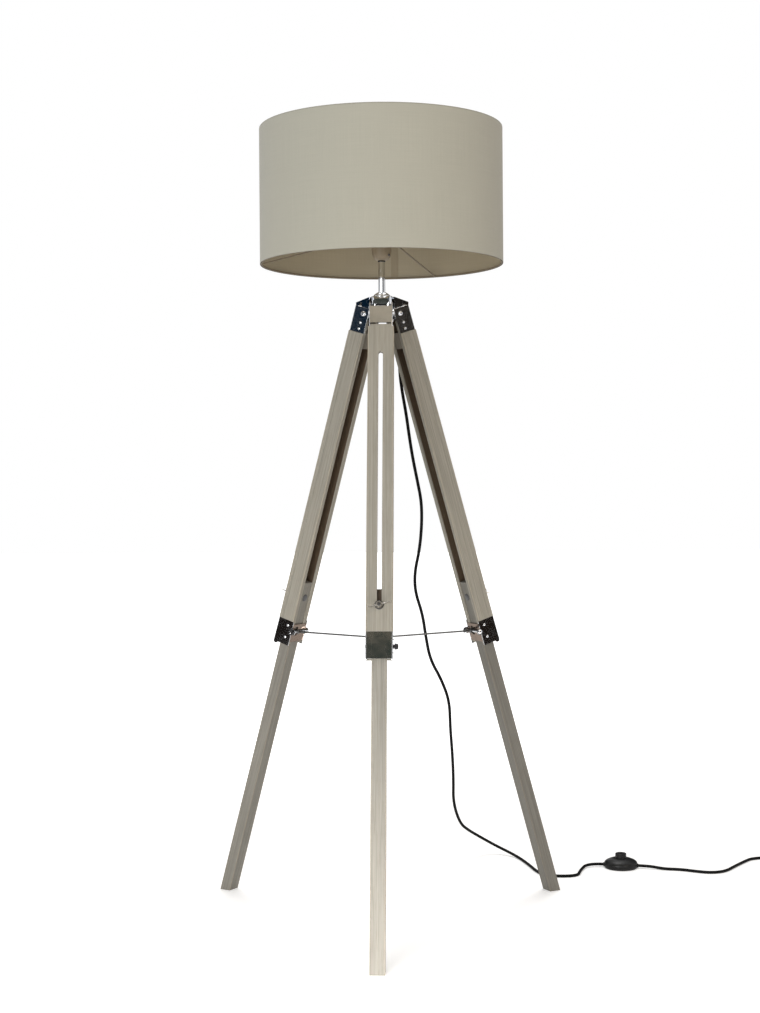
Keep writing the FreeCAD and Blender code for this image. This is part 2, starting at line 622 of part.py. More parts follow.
def pivot_bolt(name):
    """Bolt with a head at each end and the two bushes that fill the gap beside the ears."""
    half = "cap_wide / 2"
    shank = disc(name + "_pivot_shank", "pivot_radius", "cap_wide", ("-" + half, "0", "0"), ALONG_X)
    pieces = [shank]
    for tag, start in (("a", "-%s - pivot_head_tall" % half), ("b", half)):
        pieces.append(disc("%s_pivot_head_%s" % (name, tag), "pivot_head", "pivot_head_tall",
                           (start, "0", "0"), ALONG_X))
    gap = "cap_wide / 2 - cap_sheet - arm_wide / 2 - 2 * running"
    for tag, start in (("a", "-%s + cap_sheet + running" % half), ("b", "arm_wide / 2 + running")):
        pieces.append(disc("%s_bush_%s" % (name, tag), "bush_radius", gap, (start, "0", "0"), ALONG_X))
    return fuse(name + "_pivot", *pieces)


def lower_bracket(name):
    """Folded sheet cuff: front plate, side plates with a lug each and rounded lower ends."""
    half = "upper_wide / 2"
    low = "-upper_low - cuff_lip"
    front = box(name + "_cuff_front", ("-" + half, half), ("-front_deep", "-front_deep + cuff_sheet"),
                (low, CUFF_TOP))
    pieces = [front]
    for tag, near in (("a", "-" + half), ("b", half + " - cuff_sheet")):
        pieces.append(box("%s_cuff_side_%s" % (name, tag), (near, near + " + cuff_sheet"),
                          ("-front_deep", BACK + " + cuff_proud"), (low, CUFF_TOP)))
        pieces.append(disc("%s_cuff_lug_%s" % (name, tag), "lug_radius", "cuff_sheet",
                           (near, "pin_deep", "-pin_low"), ALONG_X))
        pieces.append(disc("%s_cuff_end_%s" % (name, tag), "2 * cuff_lip", "cuff_sheet",
                           (near, "2 * cuff_lip - front_deep", low + " + cuff_lip / 2"), ALONG_X))
    hole = disc(name + "_cuff_hole", "pin_radius + running", "upper_wide + 2 * overrun",
                ("-%s - overrun" % half, "pin_deep", "-pin_low"), ALONG_X)
    return cut(name + "_cuff", fuse(name + "_cuff_blank", *pieces), hole)


# Heights of the bracket screws, as shares of the side plates, and their place in depth.
CAP_SCREW_SHARES = (0.15, 0.40)
CUFF_SCREW_SHARES = (0.30, 0.80)


def bracket_screws(name):
    """Dome-headed screws through both brackets' side plates into the rails."""
    pieces = []
    for key, half, low, tall, shares, deep in (
            ("cap", "cap_wide / 2", "-cap_side_low", "cap_side_low + cap_side_top", CAP_SCREW_SHARES,
             "-ear_radius / 4"),
            ("cuff", "upper_wide / 2", "-upper_low - cuff_lip", "cuff_tall", CUFF_SCREW_SHARES,
             "lug_radius / 3")):
        for index, share in enumerate(shares):
            level = "%s + (%s) * %s" % (low, tall, share)
            for tag, start in (("a", "-%s - screw_head" % half), ("b", half)):
                pieces.append(disc("%s_%s_screw_%s%d" % (name, key, tag, index), "screw_radius",
                                   "screw_head", (start, deep, level), ALONG_X))
    return fuse(name + "_screws", *pieces)


def brace_pin(name):
    """Pin across the lower bracket's lugs, with a head at one end and a thread for the knob."""
    half = "upper_wide / 2"
    shank = disc(name + "_brace_shank", "pin_radius", "upper_wide + knob_tall",
                 ("-" + half, "pin_deep", "-pin_low"), ALONG_X)
    head = disc(name + "_brace_head", "pin_head", "pin_head_tall",
                ("-%s - pin_head_tall" % half, "pin_deep", "-pin_low"), ALONG_X)
    return fuse(name + "_pin", shank, head)


def brace_knob(name):
    """Knurled nut: a narrow neck against the lug and a wider grip."""
    start = "upper_wide / 2 + running"
    neck = disc(name + "_knob_neck", "knob_neck", "knob_tall / 3", (start, "pin_deep", "-pin_low"), ALONG_X)
    grip = disc(name + "_knob_grip", "knob_radius", "knob_tall * 2 / 3 - seat",
                (start + " + knob_tall / 3", "pin_deep", "-pin_low"), ALONG_X, top="knob_neck")
    hole = disc(name + "_knob_hole", "pin_radius + running", "knob_tall + 2 * overrun",
                (start + " - overrun", "pin_deep", "-pin_low"), ALONG_X)
    return cut(name + "_knob", fuse(name + "_knob_blank", neck, grip), hole)


# Lower leg: a solid batten that slides between the rails, clamped by a bolt through the slot.
BOLT_LEVEL = "-slot_low + slot_wide / 2"


def lower_leg(name):
    """Batten with a level foot and the clamp bolt's hole."""
    front = "board_thick - front_deep + seat"
    back = front + " + lower_deep"
    top = BOLT_LEVEL + " + lower_over"
    foot = "-(pivot_high + (front_deep - board_thick - seat) * sin(tilt * 1 deg)) / cos(tilt * 1 deg)"
    heel = "%s + lower_deep * tan(tilt * 1 deg)" % foot
    leg = plated(name + "_batten", "YZ_Plane", [(front, foot), (back, heel), (back, top), (front, top)],
                 "lower_wide")
    hole = disc(name + "_batten_hole", "bolt_radius + running", "lower_deep + 2 * overrun",
                ("0", front + " - overrun", BOLT_LEVEL), ALONG_Y)
    return cut(name + "_lower", leg, hole)


def clamp_bolt(name):
    """Bolt through the lower leg and the slot, with its head inside and a washer outside."""
    back = "board_thick - front_deep + seat + lower_deep"
    start = "-front_deep - bolt_proud"
    shank = disc(name + "_bolt_shank", "bolt_radius", back + " - (%s)" % start,
                 ("0", start, BOLT_LEVEL), ALONG_Y)
    head = disc(name + "_bolt_head", "bolt_head", "bolt_head_tall", ("0", back, BOLT_LEVEL), ALONG_Y)
    washer = disc(name + "_bolt_washer", "washer_radius", "washer_thick",
                  ("0", "-front_deep - washer_thick - running", BOLT_LEVEL), ALONG_Y)
    return fuse(name + "_bolt", shank, head, washer)


def wing_nut(name):
    """Boss with two upswept wings, bored for the bolt."""
    face = "-front_deep - washer_thick - 2 * running"
    boss = disc(name + "_wing_boss", "wing_boss", "wing_boss_tall",
                ("0", face + " - wing_boss_tall", "0"), ALONG_Y)
    pieces = [boss]
    for tag, sign in (("a", ""), ("b", "-")):
        pieces.append(plated("%s_wing_%s" % (name, tag), "XY_Plane", [
            (sign + "(wing_boss / 2)", face + " - wing_boss_tall / 4"),
            (sign + "(wing_span * 3 / 4)", face + " - wing_boss_tall / 4"),
            (sign + "wing_span", face + " - wing_tall / 2"),
            (sign + "wing_span", face + " - wing_tall - wing_boss_tall / 4"),
            (sign + "(wing_span * 3 / 4)", face + " - wing_tall - wing_boss_tall / 4"),
            (sign + "(wing_boss / 2)", face + " - wing_boss_tall * 3 / 4")], "wing_thick"))
    blank = fuse(name + "_wing_blank", *pieces)
    hole = disc(name + "_wing_hole", "bolt_radius + running", "wing_boss_tall + 2 * overrun",
                ("0", face + " - wing_boss_tall - overrun", "0"), ALONG_Y)
    nut = cut(name + "_wing", blank, hole)
    turn = FreeCAD.Rotation(FreeCAD.Vector(0, 1, 0), -VALUE["wing_turn"])
    nut.Placement = FreeCAD.Placement(point("0", "0", BOLT_LEVEL), turn)
    return nut


# Brace: three rods from the lower brackets to a small plate on the lamp's axis. Each rod
# passes beside the axis, so that the three clear each other as the legs fold.
def pin_spot():
    """Distance from the lamp's axis and height of a brace pin."""
    out = VALUE["pivot_out"] - VALUE["pin_deep"] * math.cos(LEAN) + VALUE["pin_low"] * math.sin(LEAN)
    high = VALUE["pivot_high"] - VALUE["pin_low"] * math.cos(LEAN) - VALUE["pin_deep"] * math.sin(LEAN)
    return out, high


def brace_rod(name, bearing):
    """Eye on the pin, a ferrule and a straight rod that ends beside the lamp's axis."""
    out, high = pin_spot()
    start = FreeCAD.Vector(VALUE["brace_aside"], -out, high)
    end = FreeCAD.Vector(VALUE["brace_aside"], -VALUE["brace_short"], VALUE["brace_low"])
    way = (end - start).normalize()
    across = FreeCAD.Vector(1, 0, 0)
    eye_start = start - across * (VALUE["brace_eye_wide"] / 2)
    eye = Part.makeCylinder(VALUE["brace_eye"], VALUE["brace_eye_wide"], eye_start, across)
    neck = VALUE["brace_eye"] - VALUE["brace_radius"] / 2
    ferrule = Part.makeCylinder(VALUE["ferrule_radius"] * 2 / 3, VALUE["ferrule_out"] - neck,
                                start + way * neck, way)
    nut = Part.makeCylinder(VALUE["ferrule_radius"], VALUE["ferrule_radius"],
                            start + way * VALUE["ferrule_out"], way)
    rod = Part.makeCylinder(VALUE["brace_radius"], (end - start).Length - VALUE["ferrule_out"],
                            start + way * VALUE["ferrule_out"], way)
    blank = eye.fuse([ferrule, nut, rod])
    bore_start = eye_start - across * VALUE["overrun"]
    bore = Part.makeCylinder(VALUE["pin_radius"] + VALUE["running"],
                             VALUE["brace_eye_wide"] + 2 * VALUE["overrun"], bore_start, across)
    loose(name + "_brace_rod", blank.cut(bore), radial_place(bearing))


def brace_plate():
    """Round plate with a domed rivet that lies over the three rods' ends."""
    low = "brace_low + brace_radius + plate_gap"
    top = low + " + plate_thick"
    plate = turned("plate", [("0", low), ("plate_radius", low), ("plate_radius", top),
                             ("plate_radius / 3", top), ("plate_radius / 5", top + " + plate_thick / 2"),
                             ("0", top + " + plate_thick / 2")])
    part("brace_plate", plate)


def legs():
    """All three legs, each with its own pieces, in its own frame."""
    for name, bearing in LEGS:
        place = leg_place(bearing)
        part(name + "_slotted_board", front_board(name), place)
        part(name + "_side_rails", side_rails(name), place)
        part(name + "_top_bracket", top_bracket(name), place)
        part(name + "_pivot_bolt", pivot_bolt(name), place)
        part(name + "_lower_bracket", lower_bracket(name), place)
        part(name + "_bracket_screws", bracket_screws(name), place)
        part(name + "_brace_pin", brace_pin(name), place)
        part(name + "_brace_knob", brace_knob(name), place)
        part(name + "_lower_leg", lower_leg(name), place)
        part(name + "_clamp_bolt", clamp_bolt(name), place)
        part(name + "_wing_nut", wing_nut(name), place)
        brace_rod(name, bearing)


# Cord: out of the hub's back, down behind the lamp to the foot switch, on to a coil and the plug.
# The points are places in the lamp's own frame, chosen by hand along the real cord.
SWITCH_SPOT = (471.0, 441.0)
SWITCH_BEARING = -10.0
HANGING_POINTS = [
    (0, 135, 1134.5), (3, 155, 1124), (10, 166, 1099), (21, 163, 1071), (30, 152, 1041),
    (30, 144, 1006), (35, 141, 968), (42, 146, 927), (47, 154, 887), (53, 165, 846), (61, 176, 804),
    (69, 186, 762), (69, 201, 717), (64, 218, 668), (54, 233, 625), (54, 248, 585), (68, 265, 540),
    (74, 284, 493), (82, 302, 446), (104, 321, 404), (120, 343, 357), (121, 369, 300),
    (125, 396, 243), (127, 426, 184), (126, 454, 131), (140, 487, 81), (158, 519, 60),
    (181, 546, 41), (214, 567, 18), (259, 532, 3), (280, 461, 3), (297, 385, 3), (316, 355, 3),
    (376, 355, 3), (384, 402, 3),
]
FLOOR_POINTS = [
    (556, 418, 3), (590, 413.5, 3), (616, 399, 3), (646, 386, 3), (678, 398, 3), (704, 441, 3),
    (731, 483, 3), (752, 512, 3), (789, 520, 3),
]
COIL_MIDDLE = (832.0, 556.0)


def switch_place():
    """Frame of the foot switch: origin on the floor under its middle, X along the cord."""
    turn = FreeCAD.Rotation(Z_AXIS, SWITCH_BEARING)
    return FreeCAD.Placement(FreeCAD.Vector(SWITCH_SPOT[0], SWITCH_SPOT[1], 0), turn)


def switch_line(out):
    """Point on the line of the switch's two cord bosses, some way from its middle."""
    return switch_place().multVec(FreeCAD.Vector(out, 0, VALUE["cord_high"]))


def tube_path(points):
    """Straight runs joined by tangent arcs as a wire, with the radius of each arc."""
    edges = []
    radii = []
    last = points[0]
    for before, here, after in zip(points, points[1:], points[2:]):
        into = here - before
        out = after - here
        turn = into.getAngle(out)
        bend = RUN_SHARE * min(into.Length, out.Length) / math.tan(turn / 2)
        into.normalize()
        out.normalize()
        back = bend * math.tan(turn / 2)
        start = here - into * back
        end = here + out * back
        inward = (out - into).normalize()
        middle = here + inward * (bend / math.cos(turn / 2) - bend)
        edges.append(Part.LineSegment(last, start).toShape())
        edges.append(Part.Arc(start, middle, end).toShape())
        radii.append(bend)
        last = end
    edges.append(Part.LineSegment(last, points[-1]).toShape())
    return Part.Wire(edges), radii


# Part of the shorter run beside a corner that its arc takes up.
RUN_SHARE = 0.45


def swept(label, path, start, heading):
    """Sweep the cord's round section along a path and keep it; returns the path's length."""
    radius = VALUE["cord_radius"]
    section = Part.Wire([Part.Circle(start, heading, radius).toShape()])
    solid = path.makePipeShell([section], True, False)
    if solid.Volume < 0:
        solid.reverse()
    share = solid.Volume / (math.pi * radius ** 2 * path.Length)
    print("%s: length %.0f mm, volume over section times length %.4f" % (label, path.Length, share))
    loose(label, solid, FreeCAD.Placement())
    return path.Length


def free_cord(label, points):
    """One free stretch of the cord along its points."""
    path, radii = tube_path(points)
    print("%s radii: %s" % (label, " ".join("%.0f" % radius for radius in radii)))
    return swept(label, path, points[0], points[1] - points[0])


# Coil, in turns from where the cord comes in at its front: the spiral runs in, reverses and
# runs out again, and climbs onto its own first layer in the half turn about the reversal.
COIL_REVERSAL = 1.25
COIL_TURNS = 2.25
CLIMB_HALF = 0.25


def coil_point(turns):
    """Place on the coil's middle line and the direction there."""
    pitch = VALUE["coil_pitch"]
    way = min(turns, 2 * COIL_REVERSAL - turns)
    radius = VALUE["coil_radius"] - pitch * way
    climb = (turns - COIL_REVERSAL + CLIMB_HALF) / (2 * CLIMB_HALF)
    climb = min(max(climb, 0.0), 1.0)
    rise = pitch * climb ** 2 * (3 - 2 * climb)
    steep = pitch * 6 * climb * (1 - climb) / (2 * CLIMB_HALF)
    inward = 0.0
    if 0 < turns < COIL_TURNS and turns != COIL_REVERSAL:
        inward = math.copysign(pitch, turns - COIL_REVERSAL)
    angle = 2 * math.pi * turns - math.pi / 2
    outward = FreeCAD.Vector(math.cos(angle), math.sin(angle), 0)
    along = FreeCAD.Vector(-math.sin(angle), math.cos(angle), 0)
    middle = FreeCAD.Vector(COIL_MIDDLE[0], COIL_MIDDLE[1], VALUE["cord_radius"] + rise)
    heading = outward * inward + along * (2 * math.pi * radius) + Z_AXIS * steep
    return middle + outward * radius, heading.normalize()


def tangent_arc(start, heading, end):
    """Arc from a start in a given direction to an end."""
    chord = end - start
    reach = chord.Length
    chord.normalize()
    turn = heading.getAngle(chord)
    side = (heading - chord * heading.dot(chord)).normalize()
    middle = (start + end) / 2 + side * (reach / 2 * math.tan(turn / 2))
    return Part.Arc(start, middle, end).toShape()


def biarc(start, start_way, end, end_way):
    """Two tangent arcs from one place and direction to another."""
    gap = end - start
    both = start_way + end_way
    spread = 2 * (1 - start_way.dot(end_way))
    along = gap.dot(both)
    reach = (math.sqrt(along ** 2 + spread * gap.dot(gap)) - along) / spread
    joint = (start + start_way * reach + end - end_way * reach) / 2
    return [tangent_arc(start, start_way, joint), tangent_arc(end, end_way * -1, joint)]


def coil_ends():
    """Outer ends of the coil's two straight ends with the direction of the cord at each."""
    straight = 2 * VALUE["cord_radius"]
    start, start_way = coil_point(0)
    end, end_way = coil_point(COIL_TURNS)
    return start - start_way * straight, start_way, end + end_way * straight, end_way


def coil():
    """Coil of the spare cord, a quarter turn at a time."""
    first, first_way, last, _ = coil_ends()
    start, start_way = coil_point(0)
    edges = [Part.LineSegment(first, start).toShape()]
    quarters = round(4 * COIL_TURNS)
    for quarter in range(1, quarters + 1):
        end, end_way = coil_point(quarter / 4)
        edges.extend(biarc(start, start_way, end, end_way))
        start, start_way = end, end_way
    edges.append(Part.LineSegment(start, last).toShape())
    path = Part.Wire(Part.__sortEdges__(edges))
    length = swept("cord_coil", path, first, first_way)
    spots = path.discretize(Distance=VALUE["cord_radius"] / 3)
    step = length / (len(spots) - 1)
    apart = math.ceil(math.pi * VALUE["coil_radius"] / 2 / step)
    least = min((here - there).Length for index, here in enumerate(spots)
                for there in spots[index + apart:])
    print("cord_coil: least gap to itself %.2f mm" % (least - 2 * VALUE["cord_radius"]))
    return length


def cord():
    """Both free stretches, the coil and the whole length."""
    gland_end = LAMP_PLACE.multVec(point("0", "gland_out", "gland_high"))
    out = VALUE["boss_out"]
    into_switch = [switch_line(-out - VALUE["lead_in"]), switch_line(-out)]
    hanging = [gland_end] + [FreeCAD.Vector(*spot) for spot in HANGING_POINTS] + into_switch
    from_switch = [switch_line(out), switch_line(out + VALUE["lead_out"])]
    lying = from_switch + [FreeCAD.Vector(*spot) for spot in FLOOR_POINTS] + [coil_ends()[0]]
    whole = free_cord("cord_to_switch", hanging) + free_cord("cord_to_plug", lying) + coil()
    print("whole cord: %.0f mm" % whole)


# Foot switch: a round base with two cord bosses, a domed cover and a sprung button.
def switch_bosses(tag, radius):
    """The two cord bosses, or the openings for them, as two cylinders."""
    start = "switch_radius - 2 * switch_wall"
    near = disc(tag + "_near", radius, "boss_out - (%s)" % start, (start, "0", "cord_high"), ALONG_X)
    far = disc(tag + "_far", radius, "boss_out - (%s)" % start, ("-boss_out", "0", "cord_high"), ALONG_X)
    return near, far


def foot_switch():
    """Base, cover and button."""
    place = switch_place()
    plate = disc("switch_plate", "switch_radius", "switch_base_tall", ("0", "0", "0"))
    part("switch_base", fuse("switch_foot", plate, *switch_bosses("switch_boss", "boss_radius")), place)
    low = "switch_base_tall"
    inner = "button_radius + running"
    under = "switch_tall - switch_wall"
    shoulder = "(switch_radius + button_radius) / 2"
    shell = turned("switch_shell", [
        ("switch_radius", low), ("switch_radius", "switch_rim"),
        (shoulder, "(switch_rim + 2 * switch_tall) / 3"), ("button_radius + 2 * switch_wall", "switch_tall"),
        (inner, "switch_tall"), (inner, under), ("button_radius + button_skirt + seat", under),
        (shoulder + " - switch_wall / 2", "(switch_rim + 2 * switch_tall) / 3 - switch_wall"),
        ("switch_radius - switch_wall", "switch_rim - switch_wall / 2"),
        ("switch_radius - switch_wall", low)])
    ways = switch_bosses("switch_way", "boss_radius + running")
    part("switch_cover", cut("switch_lid", shell, *ways), place)
    skirt = "button_radius + button_skirt"
    roof = under + " - running"
    floor = roof + " - switch_wall / 2"
    top = "switch_tall + button_proud"
    button = turned("button", [("0", floor), (skirt, floor), (skirt, roof), ("button_radius", roof),
                               ("button_radius", top), ("0", top)])
    rounded(button, "button_edge", "switch_wall / 2", at_height(top))
    part("switch_button", button, place)


def plug():
    """Plug lying on its back past the coil, with its sleeve towards it and its pins up."""
    spot = coil_ends()[2]
    place = FreeCAD.Placement(FreeCAD.Vector(spot.x, spot.y, 0), FreeCAD.Rotation())
    sleeve = disc("plug_sleeve", "sleeve_tip", "sleeve_long", ("0", "0", "cord_radius + coil_pitch"),
                  ALONG_Y, top="sleeve_root")
    start = "sleeve_long"
    end = "sleeve_long + plug_long"
    block = plated("plug_block", "XY_Plane", [
        ("plug_nose / 2", start), ("plug_wide / 2", start + " + plug_nose"),
        ("plug_wide / 2", end + " - plug_nose / 2"), ("plug_wide / 2 - plug_nose / 2", end),
        ("plug_nose / 2 - plug_wide / 2", end), ("-plug_wide / 2", end + " - plug_nose / 2"),
        ("-plug_wide / 2", start + " + plug_nose"), ("-plug_nose / 2", start)], "plug_tall", middle=False)
    part("plug_body", fuse("plug_case", block, sleeve), place)
    blades = []
    near = "sleeve_long + plug_nose"
    for tag, across, ahead, wide in (("a", "pin_spacing / 2", near, "blade_wide"),
                                     ("b", "-pin_spacing / 2", near, "blade_wide"),
                                     ("c", "0", near + " + earth_ahead", "blade_thick")):
        long = "blade_thick" if tag != "c" else "earth_wide"
        blades.append(box("plug_pin_" + tag, ("%s - %s / 2" % (across, wide), "%s + %s / 2" % (across, wide)),
                          ("%s - %s / 2" % (ahead, long), "%s + %s / 2" % (ahead, long)),
                          ("plug_tall", "plug_tall + pin_tall")))
    part("plug_pins", fuse("plug_blades", *blades), place)


shade()
lamp_holder()
stem()
hub()
cord_gland()
brace_plate()
legs()
foot_switch()
plug()
cord()
doc.recompute()

for item in doc.Objects:
    if "Invalid" in item.State or "Error" in item.State:
        raise RuntimeError("%s did not build: %s" % (item.Label, item.State))
for item in parts:
    if item.Shape.isNull() or not item.Shape.isValid():
        raise RuntimeError("%s has no valid shape" % item.Label)

os.makedirs("parts", exist_ok=True)
for item in parts:
    item.Shape.exportStep("parts/%s.step" % item.Label)
print("wrote %d sub-parts" % len(parts))
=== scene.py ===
"""Looks of a tripod floor lamp with a cloth drum shade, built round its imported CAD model.

The frame is the CAD model's, in metres: +Z is up, the floor is z = 0 and the front leg points
along -Y. Pieces are modelled in millimetres in the frame of what carries them, and then placed.
"""

import json
import logging
import math
from dataclasses import dataclass
from enum import Enum
from typing import Callable, Optional, Sequence, Union

import bpy
from mathutils import Matrix, Vector

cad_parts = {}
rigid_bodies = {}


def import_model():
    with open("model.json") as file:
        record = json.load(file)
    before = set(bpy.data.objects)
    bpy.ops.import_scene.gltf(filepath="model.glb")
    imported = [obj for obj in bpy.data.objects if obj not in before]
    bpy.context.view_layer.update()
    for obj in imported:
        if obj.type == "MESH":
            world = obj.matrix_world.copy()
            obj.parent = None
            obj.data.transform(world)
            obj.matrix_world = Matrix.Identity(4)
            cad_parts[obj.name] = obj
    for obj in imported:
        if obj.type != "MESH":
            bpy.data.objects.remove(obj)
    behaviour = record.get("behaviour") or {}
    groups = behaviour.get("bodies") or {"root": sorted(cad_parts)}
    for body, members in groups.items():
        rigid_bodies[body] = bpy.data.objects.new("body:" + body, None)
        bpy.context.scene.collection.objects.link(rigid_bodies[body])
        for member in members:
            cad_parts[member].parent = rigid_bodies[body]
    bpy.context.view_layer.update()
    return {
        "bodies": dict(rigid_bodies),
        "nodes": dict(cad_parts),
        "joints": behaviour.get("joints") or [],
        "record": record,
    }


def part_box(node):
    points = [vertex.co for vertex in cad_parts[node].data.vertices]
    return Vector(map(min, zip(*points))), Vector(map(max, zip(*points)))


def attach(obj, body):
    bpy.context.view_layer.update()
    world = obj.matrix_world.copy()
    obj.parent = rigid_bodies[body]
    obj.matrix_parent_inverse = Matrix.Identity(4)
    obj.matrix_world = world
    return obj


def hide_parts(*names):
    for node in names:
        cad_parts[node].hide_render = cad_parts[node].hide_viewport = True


LOG = logging.getLogger("floor_lamp")
LEGS = ("front", "right", "left")
MM = 0.001
IMAGE_LONG_SIDE = 1013.0  # pixels of the photograph
SMOOTH_ANGLE = 35.0  # degrees, between faces that are shaded as one
FLAT_ANGLE = 0.4  # degrees, between triangles that are one face
FOLD_ANGLE = 40.0  # degrees, over which an edge of a CAD copy is rounded
SEAM_GAP = 0.005  # millimetres, where a hollow profile closes on itself
COPY_GAP = 0.002  # millimetres, between doubled points of a CAD node
CLOTH_THREADS = 1500.0  # threads of the shade in a metre
STRAIGHT = 0.9  # least part of a direction that counts as along an axis
ALONG_X = Matrix.Rotation(math.pi / 2, 4, "Y")
BACK_X = ALONG_X @ Matrix.Rotation(math.pi, 4, "Y")
ALONG_Y = Matrix.Rotation(-math.pi / 2, 4, "X")
OUTWARD = Matrix.Rotation(math.pi / 2, 4, "X")
Colour = tuple[float, float, float]
Spot = tuple[float, float, float]
Profile = Sequence[tuple[float, float]]
Test = Callable[[Vector, Vector], bool]
Piece = bpy.types.Object
Material = bpy.types.Material
Tree = bpy.types.NodeTree
Node = bpy.types.Node
Socket = bpy.types.NodeSocket
Feed = Union[Socket, float, tuple]


class Slot(Enum):
    """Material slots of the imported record."""

    CLOTH = "shade_cloth"
    WIRE = "white_wire"
    HOLDER = "holder_plastic"
    BLACK = "black_plastic"
    SOCKET = "socket_metal"
    STEEL = "small_steel"
    CHROME = "chrome_trim"
    WOOD = "washed_wood"
    LOWER_WOOD = "lower_wood"
    CORD = "cord_sheath"
    SWITCH = "switch_plastic"
    PINS = "pin_metal"


class Kind(Enum):
    """Mesh parts that can be selected."""

    POINTS = "VERT"
    EDGES = "EDGE"
    FACES = "FACE"


def linear(red: int, green: int, blue: int) -> Colour:
    """Turn a colour as seen on a screen, 0 to 255, into a linear one."""
    seen = [value / 255 for value in (red, green, blue)]
    made = [v / 12.92 if v <= 0.04045 else ((v + 0.055) / 1.055) ** 2.4 for v in seen]
    return made[0], made[1], made[2]


def toned(colour: Colour, factor: float, extra: float = 0.0) -> Colour:
    """Darken or brighten a colour, up to one."""
    red, green, blue = (min(1.0, value * factor + extra) for value in colour)
    return red, green, blue


def about_z(degrees: float) -> Matrix:
    """Turn about Z by an angle in degrees."""
    return Matrix.Rotation(math.radians(degrees), 4, "Z")


# Bench tools ----------------------------------------------------------------------------


def select_only(*pieces: Piece) -> None:
    """Select these pieces alone and make the first of them active."""
    if bpy.context.object and bpy.context.object.mode != "OBJECT":
        bpy.ops.object.mode_set(mode="OBJECT")
    bpy.ops.object.select_all(action="DESELECT")
    for piece in pieces:
        piece.select_set(True)
    bpy.context.view_layer.objects.active = pieces[0]


def pick(piece: Piece, kind: Kind, test: Optional[Test] = None) -> None:
    """Enter edit mode with the parts of a mesh selected that pass a test.

    Args:
        piece: The mesh object.
        kind: What is selected.
        test: Takes a place and a normal, or an edge's direction. All parts without it.
    """
    select_only(piece)
    bpy.ops.object.mode_set(mode="EDIT")
    bpy.ops.mesh.select_mode(type=kind.value)
    bpy.ops.mesh.select_all(action="SELECT" if test is None else "DESELECT")
    if test is None:
        return
    bpy.ops.object.mode_set(mode="OBJECT")
    points = piece.data.vertices
    if kind is Kind.FACES:
        for face in piece.data.polygons:
            face.select = test(face.center, face.normal)
    elif kind is Kind.EDGES:
        for edge in piece.data.edges:
            start, end = (points[index].co for index in edge.vertices)
            edge.select = test((start + end) / 2, (end - start).normalized())
    else:
        for dot in points:
            dot.select = test(dot.co, dot.normal)
    bpy.ops.object.mode_set(mode="EDIT")


def done() -> None:
    """Leave edit mode."""
    bpy.ops.object.mode_set(mode="OBJECT")


def applied(piece: Piece, kind: str, **settings: object) -> Piece:
    """Add a modifier to a piece and apply it."""
    modifier = piece.modifiers.new(kind.lower(), kind)
    for name, value in settings.items():
        setattr(modifier, name, value)
    select_only(piece)
    bpy.ops.object.modifier_apply(modifier=modifier.name)
    return piece


def softened(piece: Piece, width: float, steps: int = 2, angle: float = 30.0) -> Piece:
    """Round every edge that is sharper than an angle in degrees."""
    return applied(piece, "BEVEL", width=width, segments=steps, limit_method="ANGLE",
                   angle_limit=math.radians(angle))


def carved(piece: Piece, *tools: Piece) -> Piece:
    """Cut tools out of a piece and remove them."""
    for tool in tools:
        applied(piece, "BOOLEAN", operation="DIFFERENCE", object=tool, solver="EXACT")
        bpy.data.objects.remove(tool)
    return piece


def joined(*pieces: Piece) -> Piece:
    """Join pieces into the first."""
    select_only(*pieces)
    bpy.ops.object.join()
    return pieces[0]


def moved(piece: Piece, place: Matrix) -> Piece:
    """Move a piece's mesh, so that its object stays at the origin."""
    piece.data.transform(place)
    if place.determinant() < 0:
        piece.data.flip_normals()
    return piece


def duplicate(piece: Piece, place: Matrix) -> Piece:
    """Copy a piece with a mesh of its own, at another place."""
    twin = piece.copy()
    twin.data = piece.data.copy()
    bpy.context.collection.objects.link(twin)
    return moved(twin, place)


def block(low: Spot, high: Spot) -> Piece:
    """Add a cube between two corners."""
    bpy.ops.object.select_all(action="DESELECT")
    middle = (Vector(low) + Vector(high)) / 2
    bpy.ops.mesh.primitive_cube_add(size=1, location=middle, scale=Vector(high) - Vector(low))
    piece = bpy.context.object
    bpy.ops.object.transform_apply(location=True, rotation=True, scale=True)
    return piece


def turned(profile: Profile, sides: int = 64, hollow: bool = False) -> Piece:
    """Turn a profile about Z: a circle that is extruded and resized from ring to ring.

    Args:
        profile: Radius and height of each ring.
        sides: Corners of a ring.
        hollow: The profile closes on itself round a bore. Else it is capped at both ends.

    Returns:
        The new object.
    """
    bpy.ops.object.select_all(action="DESELECT")
    radius, high = profile[0]
    bpy.ops.mesh.primitive_circle_add(vertices=sides, radius=radius, location=(0, 0, high),
                                      fill_type="NOTHING" if hollow else "NGON")
    piece = bpy.context.object
    bpy.ops.object.transform_apply(location=True)
    pick(piece, Kind.EDGES if hollow else Kind.FACES)
    rings = list(profile) + [profile[0]] * hollow
    for (start, low), (end, level) in zip(rings, rings[1:]):
        bpy.ops.mesh.extrude_region_move(TRANSFORM_OT_translate={"value": (0, 0, level - low)})
        bpy.ops.transform.resize(value=(end / start, end / start, 1),
                                 center_override=(0, 0, level))
    bpy.ops.mesh.select_all(action="SELECT")
    if hollow:
        bpy.ops.mesh.remove_doubles(threshold=SEAM_GAP)
    bpy.ops.mesh.normals_make_consistent(inside=False)
    done()
    return piece


